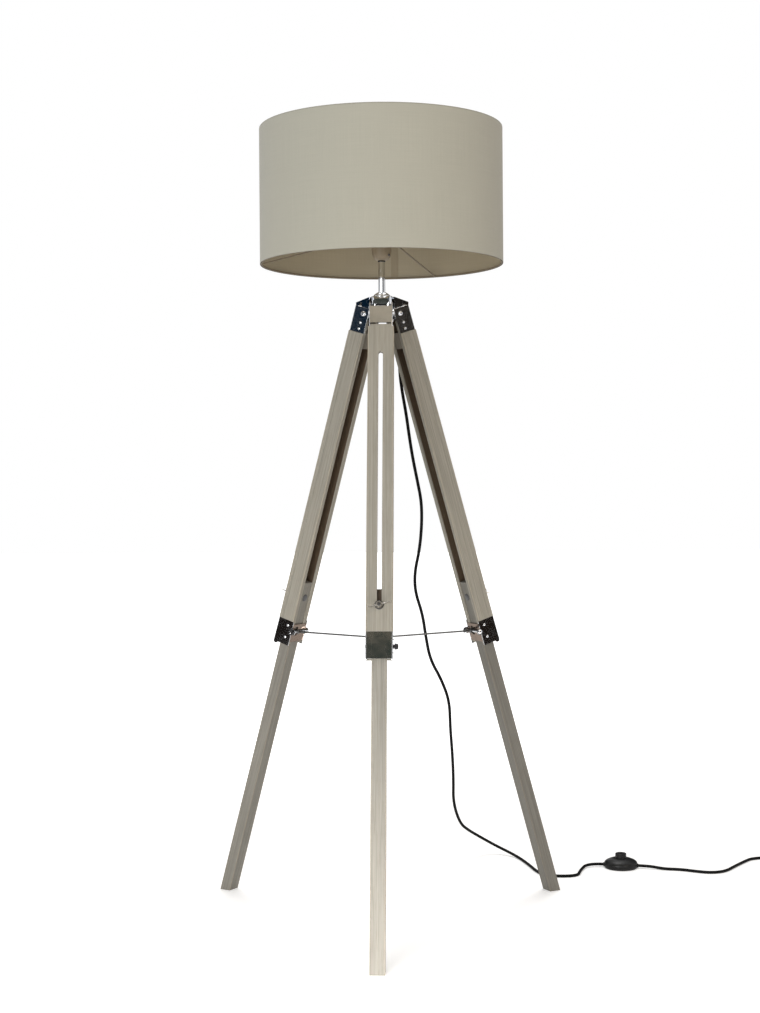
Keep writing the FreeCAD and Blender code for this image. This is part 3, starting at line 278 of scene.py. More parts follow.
def repeated(start: float, limit: float, pitch: float, tooth: Profile,
             taper: float = 0.0) -> list[tuple[float, float]]:
    """Repeat a tooth up a profile, as for a thread.

    Args:
        start: Height of the first tooth.
        limit: Height that every tooth starts below.
        pitch: Step from tooth to tooth.
        tooth: Radius of each ring of a tooth, and its height over the tooth's start.
        taper: Growth of the radius with the height.

    Returns:
        Radius and height of each ring.
    """
    rings = []
    level = start
    while level < limit:
        grown = taper * (level - start)
        rings += [(radius + grown, level + high) for radius, high in tooth]
        level += pitch
    return rings


def ribbed(piece: Piece, every: int, share: float, test: Test) -> Piece:
    """Draw every so many columns of a turned piece's points in, as grip ribs.

    Args:
        piece: A turned piece, still about Z.
        every: Columns from one groove to the next.
        share: Size of a grooved ring over a plain one.
        test: Picks the points that may be drawn in.

    Returns:
        The piece.
    """
    whole = 2 * math.pi
    angles = sorted({round(math.atan2(dot.co.y, dot.co.x) % whole, 4)
                     for dot in piece.data.vertices if dot.co.xy.length > 1e-3})
    columns = round(whole / min(after - before for before, after in zip(angles, angles[1:])))

    def in_groove(spot: Vector, normal: Vector) -> bool:
        """Tell whether a point stands in a grooved column."""
        column = round((math.atan2(spot.y, spot.x) % whole) / (whole / columns))
        return column % every == 0 and test(spot, normal)

    pick(piece, Kind.POINTS, in_groove)
    bpy.ops.transform.resize(value=(share, share, 1), center_override=(0, 0, 0))
    done()
    return piece


def refined(node: Piece, place: Matrix) -> Piece:
    """Copy a CAD node's mesh into its carrier's frame, its triangles merged into faces."""
    piece = bpy.data.objects.new("copy", node.data.copy())
    bpy.context.collection.objects.link(piece)
    piece.data.materials.clear()
    moved(piece, place.inverted())
    pick(piece, Kind.POINTS)
    bpy.ops.mesh.remove_doubles(threshold=COPY_GAP)
    bpy.ops.mesh.dissolve_limited(angle_limit=math.radians(FLAT_ANGLE))
    done()
    for name in [layer.name for layer in piece.data.attributes if layer.name == "custom_normal"]:
        piece.data.attributes.remove(piece.data.attributes[name])
    return piece


class Frame:
    """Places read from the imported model."""

    def __init__(self, loaded: dict) -> None:
        """Keep the loaded model and find the lamp's axis."""
        self.nodes = loaded["nodes"]
        self.joints = {joint["name"]: joint for joint in loaded["joints"]}
        self.slots = {row["node"]: Slot(row["material_slot"])
                      for row in loaded["record"]["subparts"]}
        low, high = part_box("stem_tube")
        self.axis = Vector(((low.x + high.x) / 2, (low.y + high.y) / 2, 0))

    def lamp(self) -> Matrix:
        """Frame on the floor under the lamp's axis, in millimetres."""
        return Matrix.Translation(self.axis) @ Matrix.Scale(MM, 4)

    def leg(self, name: str) -> Matrix:
        """Frame of a leg at its pivot in millimetres: X across, Y inward, Z up along the leg."""
        fold = self.joints[f"{name}_leg_fold"]
        upward = Vector(self.joints[f"{name}_leg_slide"]["axis"])
        return self.across(Vector(fold["axis"]), upward, Vector(fold["pos_m"]))

    def radial(self, name: str) -> Matrix:
        """Frame on the floor under the lamp's axis with -Y towards a leg, in millimetres."""
        fold = self.joints[f"{name}_leg_fold"]
        return self.across(Vector(fold["axis"]), Vector((0, 0, 1)), self.axis)

    def across(self, side: Vector, upward: Vector, spot: Vector) -> Matrix:
        """Frame in millimetres at a spot, from its X and Z."""
        rows = Matrix((side, upward.cross(side), upward)).transposed().to_4x4()
        rows.translation = spot
        return rows @ Matrix.Scale(MM, 4)


# Effects shared by the finishes ---------------------------------------------------------


class Wiring:
    """Adds nodes to one node tree and links them."""

    def __init__(self, tree: Tree) -> None:
        """Start on a tree."""
        self.tree = tree

    def fill(self, made: Node, inputs: dict) -> None:
        """Set or link a node's inputs.

        Args:
            made: The node.
            inputs: Values or sockets, by the input's number or its name with _ for a blank.
        """
        for key, value in inputs.items():
            socket = made.inputs[key.replace("_", " ") if isinstance(key, str) else key]
            if isinstance(value, Socket):
                self.tree.links.new(value, socket)
            elif socket.type == "RGBA":
                socket.default_value = value + (1.0,)
            else:
                socket.default_value = value

    def node(self, kind: str, inputs: Optional[dict] = None, **settings: object) -> Node:
        """Add a node.

        Args:
            kind: Type of the node, without ShaderNode before it.
            inputs: Values or sockets of its inputs.
            settings: Properties of the node.

        Returns:
            The new node.
        """
        made = self.tree.nodes.new("ShaderNode" + kind)
        for name, value in settings.items():
            setattr(made, name, value)
        self.fill(made, inputs or {})
        return made

    def calc(self, operation: str, *values: Feed) -> Socket:
        """Work out one step of arithmetic."""
        return self.node("Math", dict(enumerate(values)), operation=operation).outputs[0]

    def times(self, first: Feed, second: Feed) -> Socket:
        """Multiply two values."""
        return self.calc("MULTIPLY", first, second)

    def part(self, place: Socket, axis: int) -> Socket:
        """One coordinate of a place."""
        return self.node("SeparateXYZ", {0: place}).outputs[axis]

    def noise(self, place: Feed, scale: Feed, detail: float = 2.0, rough: float = 0.5) -> Socket:
        """Cloudy values about a half."""
        inputs = {"Vector": place, "Scale": scale, "Detail": detail, "Roughness": rough}
        return self.node("TexNoise", inputs).outputs[0]

    def drawn(self, place: Feed, scales: Spot, detail: float = 2.0, rough: float = 0.5) -> Socket:
        """Cloudy values about a half, with a scale for each axis."""
        wide = self.node("VectorMath", {0: place, 1: scales}, operation="MULTIPLY").outputs[0]
        return self.noise(wide, 1.0, detail, rough)

    def ramp(self, value: Feed, low: float, high: float, start: float = 0.0,
             end: float = 1.0) -> Socket:
        """Map a value's range onto another, and stop at its ends."""
        inputs = {"Value": value, "From Min": low, "From Max": high, "To Min": start,
                  "To Max": end}
        return self.node("MapRange", inputs).outputs[0]

    def blend(self, share: Feed, first: Feed, second: Feed, how: str = "MIX") -> Socket:
        """Mix two colours."""
        inputs = {0: share, 6: first, 7: second}
        return self.node("Mix", inputs, data_type="RGBA", blend_type=how).outputs[2]

    def dimmed(self, tone: Feed, grey: Socket) -> Socket:
        """Multiply a colour by a value."""
        whole = self.node("CombineColor", {0: grey, 1: grey, 2: grey}).outputs[0]
        return self.blend(1.0, tone, whole, "MULTIPLY")


class Effect(Wiring):
    """Shader node group whose outputs are all numbers."""

    def __init__(self, name: str, inputs: Sequence[tuple], outputs: Sequence[str]) -> None:
        """Start the group.

        Args:
            name: Its name.
            inputs: Label and default value of each input besides the place.
            outputs: Label of each output.
        """
        super().__init__(bpy.data.node_groups.new(name, "ShaderNodeTree"))
        sockets = self.tree.interface
        sockets.new_socket(name="Place", in_out="INPUT", socket_type="NodeSocketVector")
        for label, value in inputs:
            socket = sockets.new_socket(name=label, in_out="INPUT", socket_type="NodeSocketFloat")
            socket.default_value = value
        for label in outputs:
            sockets.new_socket(name=label, in_out="OUTPUT", socket_type="NodeSocketFloat")
        self.source = self.tree.nodes.new("NodeGroupInput")
        self.result = self.tree.nodes.new("NodeGroupOutput")

    def take(self, label: str) -> Socket:
        """What the group is given."""
        return self.source.outputs[label]

    def give(self, label: str, value: Socket) -> None:
        """Link a value to an output of the group."""
        self.tree.links.new(value, self.result.inputs[label])


class Effects:
    """Node groups that the finishes share, each built once."""

    def __init__(self) -> None:
        """Build all groups."""
        self.grain = self.make_grain()
        self.weave = self.make_weave()
        self.handling = self.make_handling()
        self.rubbed = self.make_rubbed()

    @staticmethod
    def make_grain() -> Tree:
        """Wood grain along Z: fine streaks, short dark pores and slow clouds."""
        grain = Effect("wood_grain", [("Across", 300.0), ("Along", 5.0)],
                       ["Streaks", "Pores", "Clouds"])
        place = grain.take("Place")
        slow = grain.drawn(place, (9.0, 9.0, 1.6), 1.0)
        bend = grain.times(grain.calc("SUBTRACT", slow, 0.5), 0.02)
        side, deep = (grain.calc("ADD", grain.part(place, axis), bend) for axis in (0, 1))
        for name, wide, long, detail in (("Streaks", 1.0, 1.0, 5.0), ("Pores", 4.0, 5.0, 1.0)):
            across = grain.times(grain.take("Across"), wide)
            along = grain.times(grain.take("Along"), long)
            lie = grain.node("CombineXYZ", {
                0: grain.times(side, across), 1: grain.times(deep, across),
                2: grain.times(grain.part(place, 2), along)}).outputs[0]
            lines = grain.noise(lie, 1.0, detail, 0.62)
            grain.give(name, grain.ramp(lines, 0.60, 0.72) if name == "Pores" else lines)
        grain.give("Clouds", grain.drawn(place, (34.0, 34.0, 5.0), 3.0, 0.6))
        return grain.tree

    @staticmethod
    def make_weave() -> Tree:
        """Plain weave on a flat place in metres: thread relief and uneven thick threads."""
        weave = Effect("plain_weave", [("Threads", 1400.0)], ["Relief", "Slubs"])
        place, count = weave.take("Place"), weave.take("Threads")
        waves = []
        for axis in (0, 1):
            phase = weave.times(weave.times(weave.part(place, axis), count), math.pi)
            waves.append(weave.calc("SINE", phase))
        weave.give("Relief", weave.calc("MULTIPLY_ADD", weave.times(*waves), 0.5, 0.5))
        warp = weave.drawn(place, (620.0, 9.0, 1.0), 2.0, 0.6)
        weft = weave.drawn(place, (11.0, 700.0, 1.0), 2.0, 0.6)
        weave.give("Slubs", weave.times(weave.calc("ADD", warp, weft), 0.5))
        return weave.tree

    @staticmethod
    def make_handling() -> Tree:
        """Marks of handling: soft smudges and fine scratches."""
        marks = Effect("handling", [("Scale", 60.0)], ["Smudges", "Scratches"])
        place = marks.take("Place")
        smudges = marks.noise(place, marks.take("Scale"), 4.0)
        marks.give("Smudges", marks.ramp(smudges, 0.35, 0.7))
        tilted = marks.node("VectorRotate", {"Vector": place, "Angle": 0.7},
                            rotation_type="X_AXIS").outputs[0]
        lines = marks.drawn(tilted, (2600.0, 2600.0, 60.0), 1.0)
        marks.give("Scratches", marks.ramp(lines, 0.68, 0.78))
        return marks.tree

    @staticmethod
    def make_rubbed() -> Tree:
        """Mask of the long edges of a batten along Z, worn unevenly."""
        wear = Effect("rubbed_edges", [("Half width", 0.02), ("Front", -0.02), ("Back", 0.01),
                                       ("Width", 0.0015)], ["Edges"])
        place = wear.take("Place")
        deep = wear.part(place, 1)
        aside = wear.calc("ABSOLUTE", wear.part(place, 0))
        side = wear.calc("SUBTRACT", wear.take("Half width"), aside)
        front = wear.calc("SUBTRACT", deep, wear.take("Front"))
        back = wear.calc("SUBTRACT", wear.take("Back"), deep)
        near = wear.calc("MAXIMUM", side, wear.calc("MINIMUM", front, back))
        uneven = wear.drawn(place, (90.0, 90.0, 30.0), 3.0)
        reach = wear.times(wear.take("Width"), wear.times(uneven, 2.0))
        worn = wear.calc("SUBTRACT", 1.0, wear.calc("DIVIDE", near, reach))
        wear.give("Edges", wear.ramp(worn, 0.0, 0.6))
        return wear.tree


# Finishes -------------------------------------------------------------------------------


class Coat(Wiring):
    """Material under construction, with its shader."""

    def __init__(self, name: str, colour: Colour, roughness: float = 0.5) -> None:
        """Start a material of one colour."""
        self.material = bpy.data.materials.new(name)
        self.material.use_nodes = True
        self.material.diffuse_color = colour + (1.0,)
        super().__init__(self.material.node_tree)
        self.shader = self.tree.nodes["Principled BSDF"]
        self.set(Base_Color=colour, Roughness=roughness)

    def set(self, **inputs: Feed) -> None:
        """Set or link the shader's inputs, with underscores for the blanks in their names."""
        self.fill(self.shader, inputs)

    def place(self) -> Socket:
        """Object coordinates."""
        return self.node("TexCoord").outputs["Object"]

    def flat(self) -> Socket:
        """The cloth's own flat map in metres."""
        return self.node("UVMap", uv_map="cloth").outputs[0]

    def group(self, tree: Tree, **inputs: Feed) -> Callable[[str], Socket]:
        """Place an effect in the material, and return what looks up its outputs."""
        return self.node("Group", inputs, node_tree=tree).outputs.__getitem__

    def bump(self, height: Feed, distance: float, strength: float) -> None:
        """Feed a height to the shader's normal."""
        inputs = {"Height": height, "Distance": distance, "Strength": strength}
        self.set(Normal=self.node("Bump", inputs).outputs[0])


@dataclass(frozen=True)
class Finish:
    """Base of the finishes: a name, a linear colour and a roughness."""

    name: str
    colour: Colour
    roughness: float = 0.5

    def build(self, effects: Effects) -> Material:
        """Make the material."""
        coat = Coat(self.name, self.colour, self.roughness)
        self.paint(coat, effects)
        return coat.material

    def paint(self, coat: Coat, effects: Effects) -> None:
        """Lay the effects. Each finish has its own."""
        raise NotImplementedError


@dataclass(frozen=True)
class Linen(Finish):
    """Woven cloth glued to a drum: fine threads, uneven slubs and a soft sheen."""

    top_edge_line: tuple[float, float] = (1.6755, 1.6768)
    low_edge_line: tuple[float, float] = (1.4284, 1.4290)

    def paint(self, coat: Coat, effects: Effects) -> None:
        """Lay the weave, and darker lines along the top and bottom edges, on the cloth's own flat
        map.
        """
        flat = coat.flat()
        weave = coat.group(effects.weave, Place=flat, Threads=CLOTH_THREADS)
        tone = coat.blend(coat.ramp(weave("Slubs"), 0.36, 0.64), toned(self.colour, 0.95),
                          toned(self.colour, 1.03))
        slow = coat.ramp(coat.drawn(flat, (5.0, 3.0, 1.0)), 0.3, 0.7)
        tone = coat.blend(coat.times(slow, 0.35), tone, self.colour)
        tone = coat.dimmed(tone, coat.ramp(weave("Relief"), 0.0, 1.0, 0.93, 1.03))
        rise = coat.part(flat, 1)
        edge_line = coat.calc("MAXIMUM", coat.ramp(rise, *self.top_edge_line),
                        coat.ramp(rise, *self.low_edge_line, 1.0, 0.0))
        tone = coat.blend(edge_line, tone, toned(self.colour, 0.72))
        coat.bump(coat.calc("ADD", weave("Relief"), weave("Slubs")), 0.0003, 0.35)
        coat.set(Base_Color=tone, Sheen_Weight=0.25, Sheen_Roughness=0.6, Specular_IOR_Level=0.25)


@dataclass(frozen=True)
class Film(Finish):
    """Smooth laminated lining of the shade with a faint print of the cloth behind it."""

    def paint(self, coat: Coat, effects: Effects) -> None:
        """Lay the print on the lining's own flat map."""
        flat = coat.flat()
        weave = coat.group(effects.weave, Place=flat, Threads=CLOTH_THREADS)
        tone = coat.blend(coat.ramp(weave("Slubs"), 0.4, 0.6), toned(self.colour, 0.93),
                          self.colour)
        coat.bump(weave("Slubs"), 0.0002, 0.15)
        rough = coat.ramp(coat.drawn(flat, (14.0, 14.0, 1.0), 3.0), 0.3, 0.7,
                          self.roughness - 0.05, self.roughness + 0.1)
        coat.set(Base_Color=tone, Roughness=rough)


@dataclass(frozen=True)
class Moulding(Finish):
    """Moulded plastic or paint: fine texture and soft smudges."""

    texture: float = 900.0
    relief: float = 0.00005
    gloss: float = 0.5

    def paint(self, coat: Coat, effects: Effects) -> None:
        """Lay the smudges and the texture."""
        place = coat.place()
        smudges = coat.group(effects.handling, Place=place, Scale=45.0)("Smudges")
        tone = coat.blend(coat.times(smudges, 0.5), self.colour, toned(self.colour, 1.12, 0.006))
        rough = coat.ramp(smudges, 0.0, 1.0, self.roughness, self.roughness + 0.12)
        coat.bump(coat.noise(place, self.texture), self.relief, 0.5)
        coat.set(Base_Color=tone, Roughness=rough, Specular_IOR_Level=self.gloss)


@dataclass(frozen=True)
class Plating(Finish):
    """Plated or plain metal: smudged gloss and hairline scratches."""

    smudge: float = 0.10
    orange_peel: float = 0.00002

    def paint(self, coat: Coat, effects: Effects) -> None:
        """Lay the smudges, the scratches and the slight waves of the metal."""
        place = coat.place()
        marks = coat.group(effects.handling, Place=place, Scale=70.0)
        tone = coat.blend(marks("Smudges"), self.colour, toned(self.colour, 0.9))
        rough = coat.ramp(marks("Smudges"), 0.0, 1.0, self.roughness,
                          self.roughness + self.smudge)
        rough = coat.calc("MULTIPLY_ADD", marks("Scratches"), 0.08, rough)
        coat.bump(coat.noise(place, 130.0, 3.0), self.orange_peel, 0.3)
        coat.set(Metallic=1.0, Base_Color=tone, Roughness=rough)


@dataclass(frozen=True)
class Timber(Finish):
    """Grey-washed wood: the wash lies thin on the grain and is rubbed off along the edges."""

    line: Colour = (0.2, 0.16, 0.1)
    # Painted shade: a dark brown laid on the channel's inside and on the batten behind the slot.
    channel_shade: Colour = linear(70, 45, 12)
    channel_shade_half: float = 0.0136
    channel_shade_depth: tuple[float, float] = (-0.0134, 0.0085)
    channel_shade_low: float = -1.0
    edge: Colour = (0.5, 0.43, 0.32)
    across: float = 420.0
    along: float = 4.5
    half_width: float = 0.02335
    front: float = -0.022
    back: float = 0.011

    def hollow(self, coat: Coat, place: Socket) -> Socket:
        """Mask of the channel's inside and of the batten behind the slot, where painted shade
        darkens the wood.
        """
        half, low, (front, back) = self.channel_shade_half, self.channel_shade_low, self.channel_shade_depth
        aside, deep, high = (coat.part(place, axis) for axis in (0, 1, 2))
        side = coat.ramp(coat.calc("ABSOLUTE", aside), half, half + 0.0003, 0.85, 0.0)
        behind = coat.ramp(deep, front, front + 0.0003)
        near = coat.ramp(deep, back, back + 0.0008, 1.0, 0.0)
        above = coat.ramp(high, low, low + 0.001)
        return coat.times(coat.times(side, above), coat.times(behind, near))

    def paint(self, coat: Coat, effects: Effects) -> None:
        """Lay the grain by the place in the piece's own leg."""
        place, shift = (coat.node("Attribute", attribute_name=name).outputs["Vector"]
                        for name in ("leg_place", "leg_shift"))
        share = coat.node("Attribute", attribute_name="leg_painted_light").outputs["Fac"]
        lie = coat.node("VectorMath", {0: place, 1: shift}, operation="ADD").outputs[0]
        grain = coat.group(effects.grain, Place=lie, Across=self.across, Along=self.along)
        worn = coat.group(effects.rubbed, Place=place, Half_width=self.half_width,
                          Front=self.front, Back=self.back)
        dark = toned(self.colour, 0.80)
        tone = coat.blend(coat.ramp(grain("Streaks"), 0.36, 0.62), dark, toned(self.colour, 1.10))
        tone = coat.blend(coat.ramp(grain("Clouds"), 0.3, 0.75, 0.0, 0.35), tone, dark)
        # Painted shade in the channel and on the batten behind the slot.
        tone = coat.blend(self.hollow(coat, place), tone, self.channel_shade)
        tone = coat.blend(coat.times(grain("Pores"), 0.42), tone, self.line)
        tone = coat.blend(coat.times(worn("Edges"), 0.5), tone, self.edge)
        height = coat.calc("SUBTRACT", coat.times(grain("Streaks"), 0.6), grain("Pores"))
        coat.bump(height, 0.0003, 0.4)
        rough = coat.ramp(grain("Streaks"), 0.3, 0.7, self.roughness + 0.08,
                          self.roughness - 0.04)
        # Painted light and shade: the per-leg share lightens or darkens the wood.
        coat.set(Base_Color=coat.dimmed(tone, share), Roughness=rough, Specular_IOR_Level=0.35)


@dataclass(frozen=True)
class Sheath(Finish):
    """Flexible plastic sheath of the cord, faintly rippled by the cores in it."""

    def paint(self, coat: Coat, effects: Effects) -> None:
        """Lay the smudges and the ripples."""
        place = coat.place()
        smudges = coat.group(effects.handling, Place=place, Scale=120.0)("Smudges")
        tone = coat.blend(smudges, self.colour, toned(self.colour, 1.4, 0.001))
        rough = coat.ramp(smudges, 0.0, 1.0, self.roughness, self.roughness + 0.15)
        coat.bump(coat.noise(place, 260.0), 0.0002, 0.3)
        coat.set(Base_Color=tone, Roughness=rough, Specular_IOR_Level=0.08)


CHROME = Plating("chrome", (0.74, 0.75, 0.77), 0.05, smudge=0.06)
PRESSED = Plating("pressed_chrome", (0.74, 0.75, 0.77), 0.13, smudge=0.04)
CAST = Plating("cast_zinc", (0.42, 0.40, 0.37), 0.26)
DRAWN = Plating("drawn_steel", (0.12, 0.12, 0.12), 0.28)
# Painted reflection: the guide bracket's inner strap is a dark brown chrome, standing in for the
# dark surroundings it mirrors.
STRAP_PAINTED_REFLECTION = Plating("strap_chrome_painted_reflection", (0.23, 0.175, 0.14), 0.16)
NICKEL = Plating("black_nickel", (0.07, 0.07, 0.075), 0.22)
LINING = Film("shade_lining", linear(161, 150, 127), 0.5)
OVERLAP = Film("lining_overlap", linear(144, 132, 109), 0.5)
# Painted shade: the lower rolled edge is dark brown, standing in for the shadowed bottom ring.
TRIM_PAINTED_SHADE = Moulding("lampshade_trim_painted_shade", linear(70, 56, 38), 0.6)
FINISHES: dict[Slot, Finish] = {
    Slot.CLOTH: Linen("linen", linear(180, 177, 162), 0.85),
    # Painted shade: the white-painted ring and spokes get a dark brown, as they look in shadow
    # inside the lampshade.
    Slot.WIRE: Moulding("wire_painted_shade", linear(104, 92, 72), 0.45),
    # Painted shade: the pale beige holder gets a darker beige, as it looks in shadow inside the
    # lampshade.
    Slot.HOLDER: Moulding("beige_moulding_painted_shade", linear(122, 109, 88), 0.42),
    Slot.BLACK: Moulding("black_moulding", (0.012, 0.012, 0.012), 0.38, gloss=0.3),
    Slot.SOCKET: Plating("socket_brass", (0.72, 0.60, 0.38), 0.25),
    Slot.STEEL: Plating("zinc_steel", (0.55, 0.55, 0.54), 0.32),
    Slot.CHROME: CHROME,
    Slot.WOOD: Timber("washed_board", linear(157, 152, 140), 0.6),
    Slot.LOWER_WOOD: Timber("washed_batten", linear(165, 161, 151), 0.6, channel_shade_half=0.0045,
                            channel_shade_depth=(-0.1, -0.012), channel_shade_low=-0.585, half_width=0.013,
                            front=-0.0127, back=0.0093),
    Slot.CORD: Sheath("black_sheath", (0.004, 0.004, 0.004), 0.5),
    Slot.SWITCH: Moulding("switch_black", (0.010, 0.010, 0.010), 0.30, texture=500.0,
                          gloss=0.18),
    Slot.PINS: Plating("pin_brass", (0.76, 0.66, 0.42), 0.22),
}


class Paintshop:
    """Builds each finish once and hands out its material."""

    def __init__(self) -> None:
        """Build the shared effects."""
        self.effects = Effects()
        self.made: dict[str, Material] = {}

    def of(self, finish: Union[Slot, Finish]) -> Material:
        """Material of a finish or of a slot's finish."""
        kind = FINISHES[finish] if isinstance(finish, Slot) else finish
        if kind.name not in self.made:
            self.made[kind.name] = kind.build(self.effects)
        return self.made[kind.name]


class Workshop:
    """Finishes pieces: name, smooth shading, place, the material of a slot's finish, and body."""

    def __init__(self, frame: Frame, paint: Paintshop) -> None:
        """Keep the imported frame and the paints."""
        self.frame = frame
        self.paint = paint
        self.count = 0

    def install(self, piece: Piece, name: str, place: Matrix, body: str, slot: Slot,
                replaces: Sequence[str] = (), finish: Optional[Finish] = None,
                smooth: float = SMOOTH_ANGLE) -> Piece:
        """Finish a piece and set it in the frame.

        Args:
            piece: The piece in millimetres in its carrier's frame.
            name: Its name.
            place: Frame of its carrier.
            body: Body that it moves with.
            slot: Material slot that it takes its finish from.
            replaces: CAD nodes that it stands for.
            finish: Its finish, where it isn't the slot's own.
            smooth: Angle in degrees below which faces are shaded as one.

        Returns:
            The finished piece.
        """
        moved(piece, place)
        piece.name = name
        piece.data.name = name
        select_only(piece)
        bpy.ops.object.shade_smooth_by_angle(angle=math.radians(smooth))
        applied(piece, "WEIGHTED_NORMAL", keep_sharp=True)
        piece.data.materials.clear()
        piece.data.materials.append(self.paint.of(finish or slot))
        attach(piece, body)
        if replaces:
            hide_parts(*replaces)
        self.count += 1
        LOG.info("%s: %d faces on %s", name, len(piece.data.polygons), body)
        return piece

    def dress_nodes(self) -> None:
        """Give every CAD node the finish of its slot."""
        for name, node in self.frame.nodes.items():
            for index in range(len(node.material_slots)):
                node.material_slots[index].material = self.paint.of(self.frame.slots[name])


# Stage ----------------------------------------------------------------------------------


@dataclass(frozen=True)
class Light:
    """Soft square light."""

    name: str
    place: Spot
    aim: Spot
    size: float
    power: float
    colour: Colour

    def build(self) -> None:
        """Add the light."""
        data = bpy.data.lights.new(self.name, "AREA")
        data.size = self.size
        data.energy = self.power
        data.color = self.colour
        light = bpy.data.objects.new(self.name, data)
        bpy.context.collection.objects.link(light)
        turn = (Vector(self.aim) - Vector(self.place)).to_track_quat("-Z", "Y").to_matrix()
        light.matrix_world = Matrix.Translation(self.place) @ turn.to_4x4()
        light.visible_camera = False


@dataclass(frozen=True)
class Panel:
    """Upright panel that only glossy surfaces see, at a bearing from -Y towards +X."""

    name: str
    bearing: float
    away: float
    wide: float
    low: float
    high: float
    colour: Colour
    thick: float = 0.02

    def build(self) -> None:
        """Add the panel."""
        half = self.wide / 2
        card = block((-half, -self.away - self.thick, self.low), (half, -self.away, self.high))
        moved(card, about_z(self.bearing))
        card.name = self.name
        coat = Coat(self.name, (0.0, 0.0, 0.0))
        coat.set(Specular_IOR_Level=0.0, Emission_Color=self.colour, Emission_Strength=1.0)
        card.data.materials.append(coat.material)
        card.visible_camera = card.visible_diffuse = card.visible_shadow = False
        card.visible_transmission = False


@dataclass
class Studio:
    """Camera at the photograph's angle, a pale floor, soft lights and panels for the chrome."""

    eye: Spot = (0.1213, -2.9471, 0.8051)
    ahead: Spot = (-0.0401, 0.9992, 0.0)
    roll: float = -0.007
    lens: float = 58.02
    sensor: float = 36.0
    clip: tuple[float, float] = (0.05, 60.0)
    shift: tuple[float, float] = (-3.12 / IMAGE_LONG_SIDE, -27.22 / IMAGE_LONG_SIDE)
    floor_size: float = 30.0
    floor_plain: tuple[float, float] = (0.9, 2.2)
    floor_lift: float = 0.32
    world_level: float = 0.42
    lights: Sequence[Light] = (
        Light("key_light", (-1.25, -3.5, 1.0), (0.0, 0.08, 0.9), 1.6, 56.0, (0.98, 0.99, 1.0)),
        Light("shade_light", (0.0, 0.42, 2.15), (0.0, -0.14, 1.3), 0.35, 6.0, (1.0, 0.96, 0.88)),
        Light("warm_light", (2.5, -1.7, 2.6), (0.0, 0.08, 1.2), 1.2, 16.0, (1.0, 0.80, 0.58)),
        Light("top_light", (0.1, 1.5, 3.5), (0.0, 0.08, 1.1), 1.4, 34.0, (1.0, 1.0, 1.0)),
        Light("left_low_light", (-0.85, -0.35, 0.10), (-0.3, 0.2, 0.1), 0.3, 1.1,
              (1.0, 0.92, 0.82)),
        Light("right_low_light", (0.85, -0.35, 0.10), (0.3, 0.2, 0.1), 0.3, 0.9,
              (1.0, 0.92, 0.82)),
        Light("front_low_light", (-0.10, -0.66, 0.07), (0.0, -0.3, 0.10), 0.2, 2.1,
              (1.0, 0.97, 0.94)),
    )
    panels: Sequence[Panel] = (
        Panel("front_panel", 0.0, 4.6, 2.6, -0.5, 3.0, linear(62, 66, 60)),
        Panel("tan_panel", 0.0, 4.6, 5.0, 3.0, 7.0, linear(170, 155, 134)),
        Panel("left_panel", -60.0, 3.6, 2.0, 0.8, 2.9, linear(12, 31, 47)),
        Panel("right_panel", 60.0, 3.6, 2.0, 0.8, 2.9, linear(36, 34, 32)),
        Panel("low_left_panel", -60.0, 3.6, 2.0, -0.4, 0.8, linear(34, 30, 28)),
        Panel("low_right_panel", 60.0, 3.6, 2.0, -0.4, 0.8, linear(34, 28, 24)),
        Panel("back_left_panel", -150.0, 4.0, 4.0, -0.4, 3.4, linear(40, 40, 42)),
        Panel("back_right_panel", 150.0, 4.0, 4.0, -0.4, 3.4, linear(40, 40, 42)),
    )

    def camera(self) -> None:
        """Set up the camera."""
        data = bpy.data.cameras.new("photo_camera")
        data.sensor_width = self.sensor
        data.lens = self.lens
        data.shift_x, data.shift_y = self.shift
        data.clip_start, data.clip_end = self.clip
        camera = bpy.data.objects.new("photo_camera", data)
        bpy.context.collection.objects.link(camera)
        turn = Vector(self.ahead).to_track_quat("-Z", "Y").to_matrix().to_4x4()
        roll = Matrix.Rotation(self.roll, 4, "Z")
        camera.matrix_world = Matrix.Translation(self.eye) @ turn @ roll
        bpy.context.scene.camera = camera

    def seen_share(self, wires: Wiring) -> Socket:
        """One for what the camera sees, also in gloss and glass, and nought for the lighting."""
        rays = wires.node("LightPath").outputs
        seen = wires.calc("MAXIMUM", rays["Is Camera Ray"], rays["Is Glossy Ray"])
        return wires.calc("MAXIMUM", seen, rays["Is Transmission Ray"])

    def world(self) -> None:
        """White surroundings that light the lamp at a lower level."""
        world = bpy.data.worlds.new("white_surroundings")
        bpy.context.scene.world = world
        world.use_nodes = True
        wires = Wiring(world.node_tree)
        level = wires.ramp(self.seen_share(wires), 0.0, 1.0, self.world_level, 1.0)
        wires.fill(world.node_tree.nodes["Background"],
                   {"Color": (1.0, 1.0, 1.0), "Strength": level})

    def floor(self) -> None:
        """White floor that keeps the lamp's shadow and fades to plain white away from it."""
        bpy.ops.object.select_all(action="DESELECT")
        bpy.ops.mesh.primitive_plane_add(size=self.floor_size, location=(0, 0, 0))
        floor = bpy.context.object
        floor.name = "floor"
        coat = Coat("floor_white", (0.95, 0.95, 0.95), 0.9)
        away = coat.node("VectorMath", {0: coat.place()}, operation="LENGTH").outputs["Value"]
        camera = coat.node("LightPath").outputs["Is Camera Ray"]
        plain = coat.ramp(away, *self.floor_plain, 0.0, 1.0 - self.floor_lift)
        lift = coat.calc("ADD", coat.times(plain, camera), self.floor_lift)
        coat.set(Specular_IOR_Level=0.1, Emission_Color=(1.0, 1.0, 1.0),
                 Emission_Strength=coat.times(self.seen_share(coat), lift))
        floor.data.materials.append(coat.material)

    def build(self) -> None:
        """Set up the whole stage."""
        bpy.context.scene.view_settings.view_transform = "Standard"
        self.camera()
        self.world()
        self.floor()
        for part in (*self.lights, *self.panels):
            part.build()


# The lamp's sub-assemblies --------------------------------------------------------------


